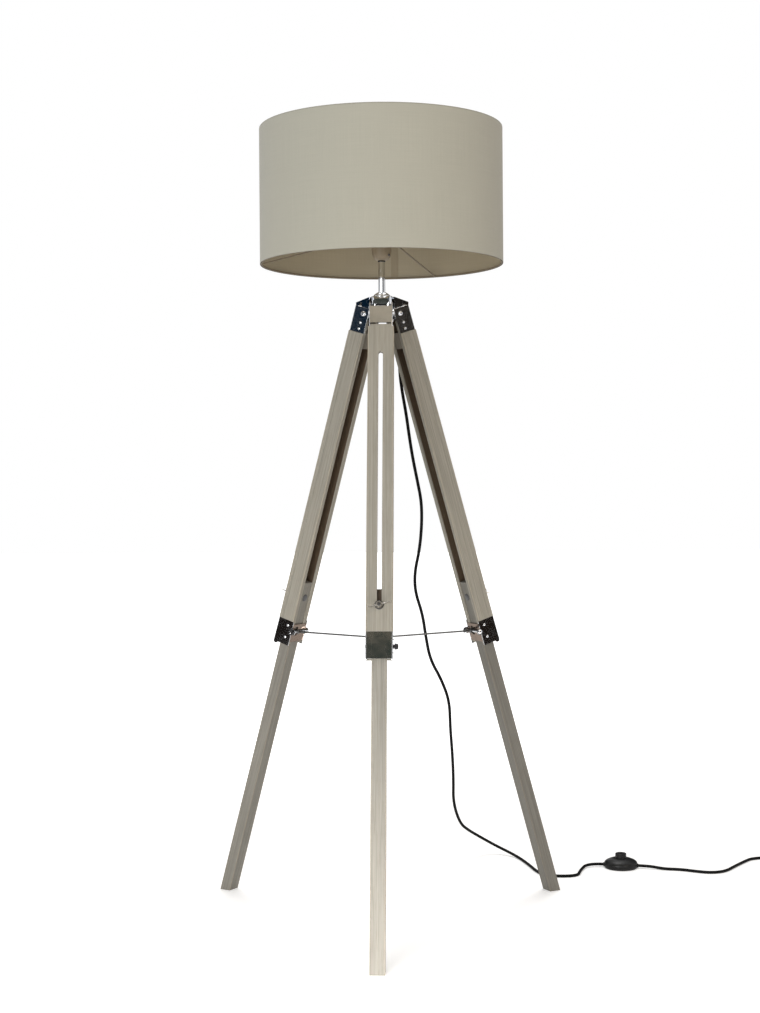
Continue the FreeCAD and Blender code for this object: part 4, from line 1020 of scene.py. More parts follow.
@dataclass
class Assembly:
    """Base of the sub-assemblies: pieces in millimetres in one frame."""

    shop: Workshop

    def place(self) -> Matrix:
        """Frame that the pieces are modelled in: on the floor under the lamp's axis."""
        return self.shop.frame.lamp()

    def put(self, piece: Piece, name: str, slot: Slot, replaces: Sequence[str] = (),
            finish: Optional[Finish] = None, smooth: float = SMOOTH_ANGLE,
            body: str = "head") -> Piece:
        """Finish a piece and set it in this assembly's frame.

        Args:
            piece: The piece in millimetres.
            name: Its name.
            slot: Material slot that it takes its finish from.
            replaces: CAD nodes that it stands for.
            finish: Its finish, where it isn't the slot's own.
            smooth: Angle in degrees below which faces are shaded as one.
            body: Body that it moves with.

        Returns:
            The finished piece.
        """
        return self.shop.install(piece, name, self.place(), body, slot, replaces, finish, smooth)


@dataclass
class Shade(Assembly):
    """Cloth drum with a lining on two wire rings."""

    radius: float = 225.0
    low: float = 1203.0
    high: float = 1453.0
    cloth: float = 0.6
    wall: float = 1.2
    seam_bearing: float = 85.7
    seam_wide: float = 14.0
    seam_cuts: int = 5
    seam_round: float = 0.2
    trim_tall: float = 2.8
    sides: int = 192

    def mapped(self, piece: Piece) -> Piece:
        """Give a drum a flat map in metres: along its edge and up its side."""
        layer = piece.data.uv_layers.new(name="cloth")
        mesh = piece.data
        cut = math.radians(self.seam_bearing)
        whole = 2 * math.pi
        for face in mesh.polygons:
            middle = (math.atan2(face.center.y, face.center.x) - cut) % whole
            for corner in face.loop_indices:
                spot = mesh.vertices[mesh.loops[corner].vertex_index].co
                angle = (math.atan2(spot.y, spot.x) - cut) % whole
                angle += whole * round((middle - angle) / whole)
                rise = spot.z + spot.xy.length
                layer.data[corner].uv = (angle * self.radius * MM, rise * MM)
        return piece

    def build(self) -> None:
        """Make the cloth, the lining, its overlap and the lower rolled edge."""
        radius, low, high = self.radius, self.low, self.high
        inner, lined, rolled = radius - self.cloth, radius - self.wall, low + self.trim_tall
        cloth = turned([
            (inner, low + 0.5), (inner + 0.3, low), (radius - 0.1, low + 0.2), (radius, low + 0.9),
            (radius, low + 5), (radius, high - 5), (radius, high - 0.9),
            (radius - 0.1, high - 0.2), (inner + 0.3, high), (inner, high - 0.5)],
            self.sides, hollow=True)
        drum = self.put(self.mapped(cloth), "shade_cloth", Slot.CLOTH, ["shade_drum"])
        lining = turned([
            (lined, low + 0.6), (inner - 0.03, low + 0.6), (inner - 0.03, high - 0.6),
            (lined, high - 0.6)], self.sides, hollow=True)
        self.put(self.mapped(lining), "shade_lining", Slot.CLOTH, finish=LINING)
        # The lower rolled edge is modelled; its dark brown is painted shade.
        trim = turned([
            (lined - 0.6, low + 0.4), (radius - 0.3, low - 0.25), (radius - 0.3, low),
            (lined - 0.1, low + 0.6), (lined - 0.1, rolled), (lined - 0.6, rolled)],
            self.sides, hollow=True)
        self.put(trim, "shade_lower_trim", Slot.CLOTH, finish=TRIM_PAINTED_SHADE)
        self.overlap()

    def overlap(self) -> None:
        """Make the glued overlap of the lining, a thin strip up the drum's inside."""
        half = self.seam_wide / 2
        back = self.radius - self.wall
        strip = block((-half, back - 1.1, self.low + 1.2), (half, back - 0.1, self.high - 1.2))
        pick(strip, Kind.EDGES, lambda _, way: abs(way.x) > STRAIGHT)
        bpy.ops.mesh.subdivide(number_cuts=self.seam_cuts)
        done()
        for dot in strip.data.vertices:
            dot.co.y -= back - math.sqrt(back ** 2 - dot.co.x ** 2)
        softened(strip, self.seam_round)
        moved(strip, about_z(self.seam_bearing - 90))
        self.put(self.mapped(strip), "shade_lining_overlap", Slot.CLOTH, finish=OVERLAP)


@dataclass
class LampHolder(Assembly):
    """Screw holder: cap, threaded body, two clamp rings, screw shell, contact and grip screw."""

    low: float = 1210.0
    waist: float = 1248.0
    top: float = 1292.0
    radius: float = 19.5
    skin: float = 17.3
    floor: float = 1260.0
    thread_pitch: float = 2.5
    shell_pitch: float = 3.6
    shell_tall: float = 27.0
    shell_radius: float = 13.5
    shell_wall: float = 0.15
    shell_wave: float = 0.22
    shell_steps: int = 8
    grip_bearing: float = -35.0
    grip_rise: float = 9.5
    grip_out: float = 17.0

    def build(self) -> None:
        """Make every piece of the holder."""
        self.cap()
        self.body()
        self.clamps()
        self.shell()
        grip = moved(slotted_screw(2.4, 1.5, 5.5), self.grip_place(0.0))
        self.put(grip, "cord_grip_screw_head", Slot.STEEL, ["cord_grip_screw"], DRAWN)

    def grip_place(self, inward: float) -> Matrix:
        """Place of the grip screw on the cap, further in by so much."""
        spot = (self.grip_out - inward, 0, self.low + self.grip_rise)
        return about_z(self.grip_bearing) @ Matrix.Translation(spot) @ ALONG_X

    def cap(self) -> None:
        """Make the domed cap with the hole for the grip screw."""
        low, waist = self.low, self.waist
        cap = turned([
            (5.2, low), (7.0, low), (9.6, low + 0.5), (12.3, low + 2.0), (14.8, low + 4.9),
            (16.8, low + 9.0), (18.0, low + 14.0), (18.8, low + 21.0), (19.3, low + 29.0),
            (self.radius, waist - 1.6), (19.3, waist - 1.0), (18.8, waist - 0.8), (18.8, waist),
            (self.skin, waist), (16.4, low + 16.0), (12.0, low + 5.2), (5.2, low + 2.2)],
            96, hollow=True)
        carved(cap, moved(turned([(2.6, 0), (2.6, 10)], 32), self.grip_place(0.4)))
        self.put(cap, "holder_cap", Slot.HOLDER, ["lampholder_cap"], smooth=28)

    def body(self) -> None:
        """Make the threaded body."""
        thread = repeated(self.waist + 1.8, self.top - 4.5, self.thread_pitch,
                          [(18.85, 0), (18.85, 0.5), (19.45, 1.2), (19.45, 1.8)])
        last = thread[-4][1] + self.thread_pitch
        body = turned([
            (self.radius, self.waist), (self.radius, self.waist + 1.4), *thread,
            (18.85, last), (18.85, self.top - 1.2), (18.5, self.top - 0.3), (18.1, self.top),
            (self.skin + 0.3, self.top), (self.skin, self.top - 0.4), (self.skin, self.floor),
            (2.0, self.floor), (2.0, self.waist)], 96, hollow=True)
        self.put(body, "holder_body", Slot.HOLDER, ["lampholder_body"], smooth=25)

    def clamps(self) -> None:
        """Make the two ribbed rings that hold the shade's fitter."""
        both = []
        for base, facing in ((1254.0, -1.0), (1256.0, 1.0)):
            ring = turned([
                (19.55, 0), (25.2, 0), (25.5, 0.3), (25.5, 2.6), (25.0, 3.2), (22.4, 3.4),
                (22.0, 4.0), (19.55, 4.0)], 144, hollow=True)
            ribbed(ring, 3, 0.975, lambda spot, _: spot.xy.length > 24.6)
            facing_up = Matrix.Scale(facing, 4, (0, 0, 1))
            both.append(moved(ring, Matrix.Translation((0, 0, base)) @ facing_up))
        self.put(joined(*both), "holder_clamp_rings", Slot.HOLDER, ["shade_clamp_rings"],
                 smooth=25)

    def shell(self) -> None:
        """Make the pressed screw shell with its floor and the contact tongue in it."""
        steps, floor = self.shell_steps, self.floor
        rim = floor + self.shell_tall
        waves = int((self.shell_tall - 5.0) / self.shell_pitch)
        inside = []
        for step in range(waves * steps + 1):
            rise = self.shell_wave * (1 - math.cos(2 * math.pi * step / steps))
            level = floor + 4.0 + step * self.shell_pitch / steps
            inside.append((self.shell_radius + rise, level))
        outside = [(radius + self.shell_wall, level) for radius, level in reversed(inside)]
        shell = turned([
            (12.9, floor + 3.5), *inside, (13.6, rim - 0.4), (14.1, rim), (14.1, rim - 0.3),
            *outside, (13.65, floor + 0.4), (12.9, floor + 0.4)], 72, hollow=True)
        self.put(shell, "socket_screw_shell", Slot.SOCKET, ["socket_shell"])
        disc = turned([(13.0, floor + 0.1), (13.0, floor + 3.0), (12.6, floor + 3.5),
                       (4.6, floor + 3.5), (4.2, floor + 3.0)], 64)
        self.put(disc, "socket_insulator", Slot.HOLDER)
        tongue = block((-3.2, -2.2, floor + 3.0), (6.4, 2.2, floor + 3.6))
        pick(tongue, Kind.FACES, lambda _, normal: normal.x < -STRAIGHT)
        for step in ((-2.2, 0, 1.3), (-2.0, 0, -0.3)):
            bpy.ops.mesh.extrude_region_move(TRANSFORM_OT_translate={"value": step})
        done()
        self.put(softened(tongue, 0.2), "socket_contact", Slot.SOCKET)


def slotted_screw(radius: float, tall: float, shank: float) -> Piece:
    """Make a domed screw with a straight slot, its head's underside at z = 0."""
    body = turned([
        (radius * 0.45, -shank), (radius * 0.5, -shank + 0.4), (radius * 0.5, 0), (radius, 0),
        (radius, tall * 0.35), (radius * 0.86, tall * 0.75), (radius * 0.55, tall * 0.95),
        (radius * 0.2, tall)], 32)
    slot, reach = radius * 0.17, radius * 1.2
    return carved(body, block((-reach, -slot, tall * 0.5), (reach, slot, tall * 2)))


def crossed_screw(radius: float, tall: float) -> Piece:
    """Make a domed screw head with a cross recess, its underside at z = 0."""
    head = turned([
        (radius * 0.6, -0.6), (radius * 0.62, 0), (radius, 0), (radius, tall * 0.25),
        (radius * 0.88, tall * 0.62), (radius * 0.62, tall * 0.9), (radius * 0.2, tall)], 32)
    arm, wide = radius * 0.55, radius * 0.13
    return carved(head, block((-arm, -wide, tall * 0.4), (arm, wide, tall * 2)),
                  block((-wide, -arm, tall * 0.4), (wide, arm, tall * 2)))


@dataclass
class Hub(Assembly):
    """Chrome hub with its nut, collar and cord gland."""

    top: float = 1144.0
    gland_high: float = 1134.5
    gland_start: float = 16.5
    gland_end: float = 37.0
    gland_taper: float = -0.9 / 15.9
    casting_round: float = 0.9
    nut_round: float = 0.4
    arm_out: float = 50.0
    arm_cut: float = 11.0
    arm_drop: float = 6.5
    arm_middle: float = 1133.0

    def build(self) -> None:
        """Make the hub, its nut, the collar above it and the gland behind."""
        nodes = self.shop.frame.nodes
        casting = self.trimmed(refined(nodes["hub"], self.place()))
        softened(casting, self.casting_round, 3, FOLD_ANGLE)
        self.put(casting, "hub_casting", Slot.CHROME, ["hub"], smooth=40)
        nut = softened(refined(nodes["hub_nut"], self.place()), self.nut_round, 2, FOLD_ANGLE)
        self.put(nut, "hub_hexagon_nut", Slot.STEEL, ["hub_nut"])
        high = self.top
        collar = turned([
            (6.3, high), (14.8, high), (14.8, high + 1.4), (14.5, high + 2.4), (13.5, high + 3.6),
            (11.9, high + 4.7), (10.3, high + 5.6), (9.3, high + 6.4), (8.5, high + 6.9),
            (7.6, high + 7.0), (6.3, high + 6.6)], 96, hollow=True)
        self.put(collar, "stem_collar", Slot.CHROME, ["hub_collar"], smooth=50)
        long = self.gland_end - self.gland_start
        gland = turned([
            (3.05, 0), (4.2, 0), (4.2, 3.0), (5.4, 3.0), (5.4, 4.2), (5.0, 4.6),
            *repeated(4.6, 18.0, 2.3, [(4.3, 0), (4.3, 1.2), (3.8, 1.4), (3.8, 2.1)],
                      self.gland_taper),
            (3.5, long - 1.2), (3.4, long - 0.3), (3.15, long), (3.05, long)], 48, hollow=True)
        moved(gland, Matrix.Translation((0, self.gland_start, self.gland_high)) @ ALONG_Y)
        self.put(gland, "cord_strain_relief", Slot.BLACK, ["cord_gland"])

    def trimmed(self, casting: Piece) -> Piece:
        """Draw the arms' ends in to the brackets, and their lower edges down to these."""
        for dot in casting.data.vertices:
            reach = dot.co.xy.length
            if reach > self.arm_out:
                dot.co.xy *= (reach - self.arm_cut) / reach
                dot.co.z -= self.arm_drop if dot.co.z < self.arm_middle else 0.0
        casting.data.update()
        return casting


@dataclass
class Legs(Assembly):
    """Three telescopic legs: washed wood, folded chrome brackets, bolts, wing nuts and knobs."""

    cap_half: float = 21.25
    cuff_half: float = 23.35
    front: float = -22.0
    cap_bend: float = 1.6
    cuff_bend: float = 1.44
    plate_round: float = 0.3
    pin: tuple[float, float] = (15.0, -619.6)
    bolt_level: float = -553.9
    bolt_back: float = 9.3
    wing_turn: float = 13.0
    wing_grain: float = 0.42
    wing_kept: float = 0.35
    ear_steps: tuple[tuple[float, float, float, float], ...] = (
        (3.6, 1.2, 0.75, 0.85), (4.0, 2.2, 0.9, 1.1), (3.4, 1.8, 1.0, 1.15),
        (2.4, 0.4, 0.8, 0.6))
    # Painted light and shade: each leg's upper wood (first) and lower wood (second) is made
    # lighter or darker by how the light falls on it.
    leg_light_and_shade: tuple[tuple[float, float], ...] = ((1.08, 0.87), (0.92, 0.46), (0.94, 0.58))
    # Painted shade: the block down in the channel is darkened.
    block_painted_shade: float = 0.8
    strap: tuple[float, float, float, float] = (11.1, 12.4, -641.0, -606.0)
    strap_in: float = 1.4
    strap_window: tuple[float, float, float, float] = (2.5, 11.5, -628.0, -611.0)
    rail_in: float = 13.3
    block_low: float = -64.5
    block_high: float = -34.0
    block_round: float = 0.8
    wood_rounds: tuple[float, float, float] = (1.3, 1.0, 1.0)
    shifts: tuple[Spot, ...] = ((0.31, 0.12, 0.0), (1.73, 0.55, 2.9), (3.17, 0.21, 5.3))
    shift_step: Spot = (0.37, 0.11, 1.3)
    screw_spots: tuple[Spot, ...] = (
        (21.25, -2.0, -28.95), (21.25, -2.0, -17.2), (23.35, 2.0, -633.3), (23.35, 2.0, -609.8))

    def fit(self, leg: str, piece: Piece, name: str, body: str, slot: Slot, node: str = "",
            finish: Optional[Finish] = None, smooth: float = SMOOTH_ANGLE) -> None:
        """Finish a piece and set it on a leg.

        Args:
            leg: The leg's name, which goes before the other names.
            piece: The piece in millimetres in the leg's frame.
            name: Its name.
            body: Body of the leg that it moves with.
            slot: Material slot that it takes its finish from.
            node: CAD node of the leg that it stands for, if any.
            finish: Its finish, where it isn't the slot's own.
            smooth: Angle in degrees below which faces are shaded as one.
        """
        self.shop.install(piece, f"{leg}_{name}", self.shop.frame.leg(leg), f"{leg}_{body}",
                          slot, [f"{leg}_{node}"] if node else [], finish, smooth)

    def node(self, leg: str, name: str) -> Piece:
        """Copy a leg's CAD node into the leg's frame."""
        return refined(self.shop.frame.nodes[f"{leg}_{name}"], self.shop.frame.leg(leg))

    def marked(self, piece: Piece, shift: Spot, share: float) -> Piece:
        """Write each point's place in its leg, in metres, its wood's shift, and the share of
        painted light and shade on it.
        """
        mesh = piece.data
        tone = mesh.attributes.new("leg_painted_light", "FLOAT", "POINT")
        for index in range(len(mesh.vertices)):
            tone.data[index].value = share
        for name in ("leg_place", "leg_shift"):
            layer = mesh.attributes.new(name, "FLOAT_VECTOR", "POINT")
            for index, dot in enumerate(mesh.vertices):
                layer.data[index].vector = dot.co * MM if name == "leg_place" else Vector(shift)
        return piece

    def wood(self, leg: str, number: int) -> None:
        """Make the slotted board, the two rails, the lower leg and the block in the channel."""
        for order, (part, name, body, slot) in enumerate((
                ("slotted_board", "front_board", "upper", Slot.WOOD),
                ("side_rails", "channel_rails", "upper", Slot.WOOD),
                ("lower_leg", "batten", "lower", Slot.LOWER_WOOD))):
            piece = softened(self.node(leg, part), self.wood_rounds[order], 3, FOLD_ANGLE)
            shift = Vector(self.shifts[number]) + Vector(self.shift_step) * order
            self.marked(piece, tuple(shift), self.leg_light_and_shade[number][slot is Slot.LOWER_WOOD])
            self.fit(leg, piece, name, body, slot, part, smooth=30)
        stop = block((-self.rail_in, -13.0, self.block_low), (self.rail_in, 9.0, self.block_high))
        softened(stop, self.block_round, 3)
        self.marked(stop, self.shifts[number], self.block_painted_shade)
        self.fit(leg, stop, "channel_block", "upper", Slot.WOOD, smooth=30)

    def bracket(self, leg: str, part: str, name: str, half: float, bend: float,
                finish: Finish) -> None:
        """Make a folded bracket with rounded folds and softened edges.

        Args:
            leg: The leg's name.
            part: CAD node of the leg that it stands for.
            name: Its name.
            half: Half of its width.
            bend: Radius of its folds, less than its wall.
            finish: Its finish.
        """
        piece = self.node(leg, part)

        def fold(spot: Vector, way: Vector) -> bool:
            """Pick the two outer folds."""
            aside = abs(abs(spot.x) - half) < 0.1
            return abs(way.z) > 0.99 and aside and spot.y < self.front + 0.1

        pick(piece, Kind.EDGES, fold)
        bpy.ops.mesh.bevel(offset=bend, segments=5, affect="EDGES")
        done()
        softened(piece, self.plate_round, 2, FOLD_ANGLE)
        self.fit(leg, piece, name, "upper", Slot.CHROME, part, finish, 30)

    def cuff_strap(self, leg: str) -> None:
        """Make the guide bracket's inner strap, with a window for the brace's eye."""
        near, far, low, high = self.strap
        left, right, under, over = self.strap_window
        half = self.cuff_half - self.strap_in
        strap = block((-half, near, low), (half, far, high))
        carved(strap, softened(block((left, near - 5, under), (right, far + 5, over)), 1.5, 3))
        softened(strap, self.plate_round, 2, FOLD_ANGLE)
        # The strap's dark brown chrome is a painted reflection.
        self.fit(leg, strap, "cuff_strap", "upper", Slot.CHROME, finish=STRAP_PAINTED_REFLECTION)

    def screws(self) -> Piece:
        """Make one leg's eight screw heads."""
        first = crossed_screw(2.4, 1.3)
        heads = []
        for index, (half, deep, level) in enumerate(self.screw_spots):
            for side, turn in ((1, ALONG_X), (-1, BACK_X)):
                spot = Matrix.Translation((side * half, deep, level))
                spin = Matrix.Rotation(0.5 + 1.1 * index + 0.7 * side, 4, "Z")
                heads.append(duplicate(first, spot @ turn @ spin))
        bpy.data.objects.remove(first)
        return joined(*heads)

    def pivot(self) -> Piece:
        """Make the pivot bolt: a domed head with a hexagon socket, bushes and a cap nut."""
        half = self.cap_half
        head = turned([(2.9, -1.0), (4.6, 0), (4.6, 0.9), (4.3, 1.9), (3.6, 2.6), (2.9, 2.9),
                       (2.4, 3.0)], 48)
        carved(head, turned([(1.6, 1.2), (1.6, 4.0)], 6))
        nut = turned([(2.9, -1.0), (4.6, 0), (4.6, 0.8), (4.1, 1.0), (3.9, 1.8), (3.0, 2.6),
                      (1.6, 2.95), (0.6, 3.0)], 6)
        shank = turned([(3.0, -half), (3.0, -19.2), (5.5, -19.2), (5.5, -15.05), (3.0, -15.05),
                        (3.0, 15.05), (5.5, 15.05), (5.5, 19.2), (3.0, 19.2), (3.0, half)], 48)
        moved(shank, ALONG_X)
        moved(head, Matrix.Translation((half, 0, 0)) @ ALONG_X)
        moved(nut, Matrix.Translation((-half, 0, 0)) @ BACK_X)
        return joined(shank, head, nut)

    def brace_pin(self) -> Piece:
        """Make the pin through the lower bracket: a domed head and a threaded tip."""
        half = self.cuff_half
        pin = turned([
            (0.8, -half - 2.6), (2.6, -half - 2.4), (3.9, -half - 1.7), (4.5, -half - 0.7),
            (4.5, -half), (2.5, -half), (2.5, half),
            *repeated(half + 0.4, half + 8.4, 0.8, [(2.5, 0), (2.15, 0.4)]),
            (2.4, half + 8.6), (1.9, half + 8.95)], 40)
        return moved(pin, Matrix.Translation((0, *self.pin)) @ ALONG_X)

    def knob(self) -> Piece:
        """Make the knurled nut on the brace pin."""
        grip = turned([
            (2.56, 0), (3.8, 0), (3.8, 2.6), (4.6, 2.9), (5.4, 3.1), (5.6, 3.5), (5.0, 6.0),
            (4.3, 8.2), (3.9, 8.7), (2.56, 8.7)], 96, hollow=True)
        ribbed(grip, 4, 0.93, lambda spot, _: spot.z > 3.0 and 4.2 < spot.xy.length)
        return moved(grip, Matrix.Translation((self.cuff_half + 0.05, *self.pin)) @ ALONG_X)

    def clamp_bolt(self) -> Piece:
        """Make the clamp bolt: thread and washer outside, a mushroom head inside."""
        back, near = self.bolt_back, -self.front
        shank = turned([
            (1.0, -back - 1.6), (4.6, -back - 1.5), (6.6, -back - 0.9), (7.0, -back),
            (3.0, -back), (3.0, near),
            *repeated(near + 0.2, 34.0, 1.0, [(3.0, 0), (2.6, 0.5)]), (2.4, 34.4)], 40)
        washer = turned([
            (3.1, near + 0.05), (7.8, near + 0.05), (8.0, near + 0.25), (8.0, near + 1.05),
            (7.8, near + 1.25), (3.1, near + 1.25)], 64, hollow=True)
        return moved(joined(shank, washer), Matrix.Translation((0, 0, self.bolt_level)) @ OUTWARD)

    def wing_nut(self) -> Piece:
        """Make the cast wing nut: a tapered boss with two rounded ears, melted together."""
        boss = turned([(6.4, 0), (6.4, 1.6), (5.9, 3.0), (5.2, 5.6), (4.8, 8.0), (1.0, 8.0)], 48)
        ear = block((2.5, -1.5, 0.6), (7.5, 1.5, 6.6))
        pick(ear, Kind.FACES, lambda _, normal: normal.x > STRAIGHT)
        for reach, rise, wide, tall in self.ear_steps:
            bpy.ops.mesh.extrude_region_move(TRANSFORM_OT_translate={"value": (reach, 0, rise)})
            bpy.ops.transform.resize(value=(1, wide, tall))
        done()
        applied(ear, "SUBSURF", levels=3, render_levels=3)
        nut = joined(boss, ear, duplicate(ear, about_z(180)))
        applied(nut, "REMESH", mode="VOXEL", voxel_size=self.wing_grain, adaptivity=0.0)
        applied(nut, "SMOOTH", factor=0.5, iterations=6)
        applied(nut, "DECIMATE", ratio=self.wing_kept)
        carved(nut, turned([(3.05, -3.0), (3.05, 12.0)], 40))
        turn = Matrix.Rotation(-math.radians(self.wing_turn), 4, "Y")
        spot = Matrix.Translation((0, self.front - 1.3, self.bolt_level))
        return moved(nut, spot @ turn @ OUTWARD)

    def build(self) -> None:
        """Make one of each piece, and set all of them on the three legs."""
        models = [
            (self.screws(), "cross_head_screws", "upper", "bracket_screws", CHROME, 25),
            (self.pivot(), "hinge_bolt", "upper", "pivot_bolt", CHROME, 30),
            (self.brace_pin(), "brace_pin_shank", "upper", "brace_pin", CHROME, 30),
            (self.knob(), "knurled_knob", "knob", "brace_knob", NICKEL, 25),
            (self.clamp_bolt(), "carriage_bolt", "lower", "clamp_bolt", DRAWN, 25),
            (self.wing_nut(), "cast_wing_nut", "wing", "wing_nut", CAST, 50),
        ]
        for number, leg in enumerate(LEGS):
            self.wood(leg, number)
            self.cuff_strap(leg)
            self.bracket(leg, "top_bracket", "hinge_bracket", self.cap_half, self.cap_bend,
                         PRESSED)
            self.bracket(leg, "lower_bracket", "guide_bracket", self.cuff_half, self.cuff_bend,
                         CHROME)
            for model, name, body, node, finish, smooth in models:
                twin = duplicate(model, Matrix.Identity(4))
                self.fit(leg, twin, name, body, Slot.CHROME, node, finish, smooth)
        for model, *_ in models:
            bpy.data.objects.remove(model)


@dataclass
class Brace(Assembly):
    """Three rods from the lower brackets to a small round plate on the lamp's axis."""

    aside: float = 7.0
    pin_out: float = 192.763
    pin_high: float = 514.74
    end_out: float = 6.0
    end_high: float = 512.0
    rod: float = 1.6

    def build(self) -> None:
        """Make the rods and the plate."""
        start = Vector((self.aside, -self.pin_out, self.pin_high))
        gap = Vector((self.aside, -self.end_out, self.end_high)) - start
        way = gap.normalized()
        across = Vector((1, 0, 0))
        lie = Matrix((across, way.cross(across), way)).transposed().to_4x4()
        lie.translation = start
        eye = turned([(2.56, -2.5), (4.6, -2.5), (5.0, -2.1), (5.0, 2.1), (4.6, 2.5),
                      (2.56, 2.5)], 48, hollow=True)
        long = gap.length
        rod = turned([
            (2.0, 4.2), (2.0, 11.0), (2.6, 11.4), (2.6, 12.4), (2.0, 12.8), (2.0, 15.0),
            (1.7, 17.8), (self.rod, 18.2), (self.rod, long - 0.8), (self.rod * 0.7, long)], 32)
        nut = turned([(1.2, 15.0), (2.7, 15.0), (3.0, 15.3), (3.0, 17.7), (2.7, 18.0),
                      (1.2, 18.0)], 6)
        model = moved(joined(moved(eye, ALONG_X), rod, nut), lie)
        for leg in LEGS:
            twin = duplicate(model, Matrix.Identity(4))
            self.shop.install(twin, f"{leg}_stay_rod", self.shop.frame.radial(leg),
                              f"{leg}_brace", Slot.CHROME, [f"{leg}_brace_rod"], DRAWN, 30)
        bpy.data.objects.remove(model)
        low = self.end_high + self.rod + 0.3
        plate = turned([
            (11.2, low), (12.0, low + 0.6), (12.0, low + 1.7), (11.4, low + 2.4),
            (9.6, low + 2.5), (9.0, low + 2.2), (4.6, low + 2.2), (4.2, low + 2.5),
            (3.6, low + 3.2), (2.2, low + 3.65), (0.6, low + 3.75)], 72)
        self.put(plate, "brace_centre_plate", Slot.CHROME, ["brace_plate"], smooth=30,
                 body="brace_plate")


@dataclass
class FootSwitch(Assembly):
    """Round foot switch on the cord: base, domed cover and sprung button."""

    spot: tuple[float, float] = (471.0, 441.0)
    bearing: float = -10.0
    cord_high: float = 5.5
    feet_out: float = 22.0

    def place(self) -> Matrix:
        """Frame on the floor under the switch, with X along the cord."""
        spot = Matrix.Translation((self.spot[0] * MM, self.spot[1] * MM, 0))
        return spot @ about_z(self.bearing) @ Matrix.Scale(MM, 4)

    def build(self) -> None:
        """Make the base with its cord bosses, the cover and the button."""
        base = turned([(31.0, 0.0), (32.6, 0.3), (33.6, 1.2), (34.0, 2.4), (34.0, 5.4),
                       (33.7, 5.8)], 96)
        bosses = []
        for turn in (0, 180):
            boss = turned([
                (4.4, 29.0), (4.6, 30.0), (4.6, 33.4), (4.0, 33.7), (4.0, 34.3), (4.5, 34.6),
                (4.4, 35.5), (3.9, 36.0), (3.1, 36.0)], 40)
            high = Matrix.Translation((0, 0, self.cord_high))
            bosses.append(moved(boss, high @ about_z(turn) @ ALONG_X))
        feet = []
        for turn in range(45, 360, 90):
            foot = turned([(4.0, 0.0), (4.4, 0.35), (4.4, 0.8)], 24)
            feet.append(moved(foot, about_z(turn) @ Matrix.Translation((self.feet_out, 0, 0))))
        self.put(joined(base, *bosses, *feet), "switch_foot_plate", Slot.SWITCH,
                 ["switch_base"], smooth=30)
        cover = turned([
            (33.4, 6.0), (34.0, 6.3), (34.0, 9.6), (33.5, 11.6), (32.2, 13.4), (30.0, 15.0),
            (27.0, 16.5), (23.8, 17.9), (20.8, 19.0), (18.2, 19.7), (16.6, 19.95), (16.0, 20.0),
            (15.5, 19.7), (14.9, 19.7), (14.5, 20.0), (12.2, 20.0), (11.6, 19.5), (11.5, 17.6),
            (14.8, 17.6), (22.0, 15.4), (28.5, 12.6), (31.6, 9.8), (31.6, 6.0)],
            128, hollow=True)
        self.put(cover, "switch_domed_cover", Slot.SWITCH, ["switch_cover"], smooth=40)
        button = turned([
            (14.0, 16.4), (14.4, 16.6), (14.4, 17.5), (11.4, 17.55), (11.4, 28.6), (11.1, 29.4),
            (10.4, 29.9), (9.6, 30.0), (8.8, 29.8), (6.0, 29.2), (3.0, 28.9), (0.6, 28.85)], 96)
        self.put(button, "switch_push_button", Slot.SWITCH, ["switch_button"], smooth=40,
                 body="switch_button")


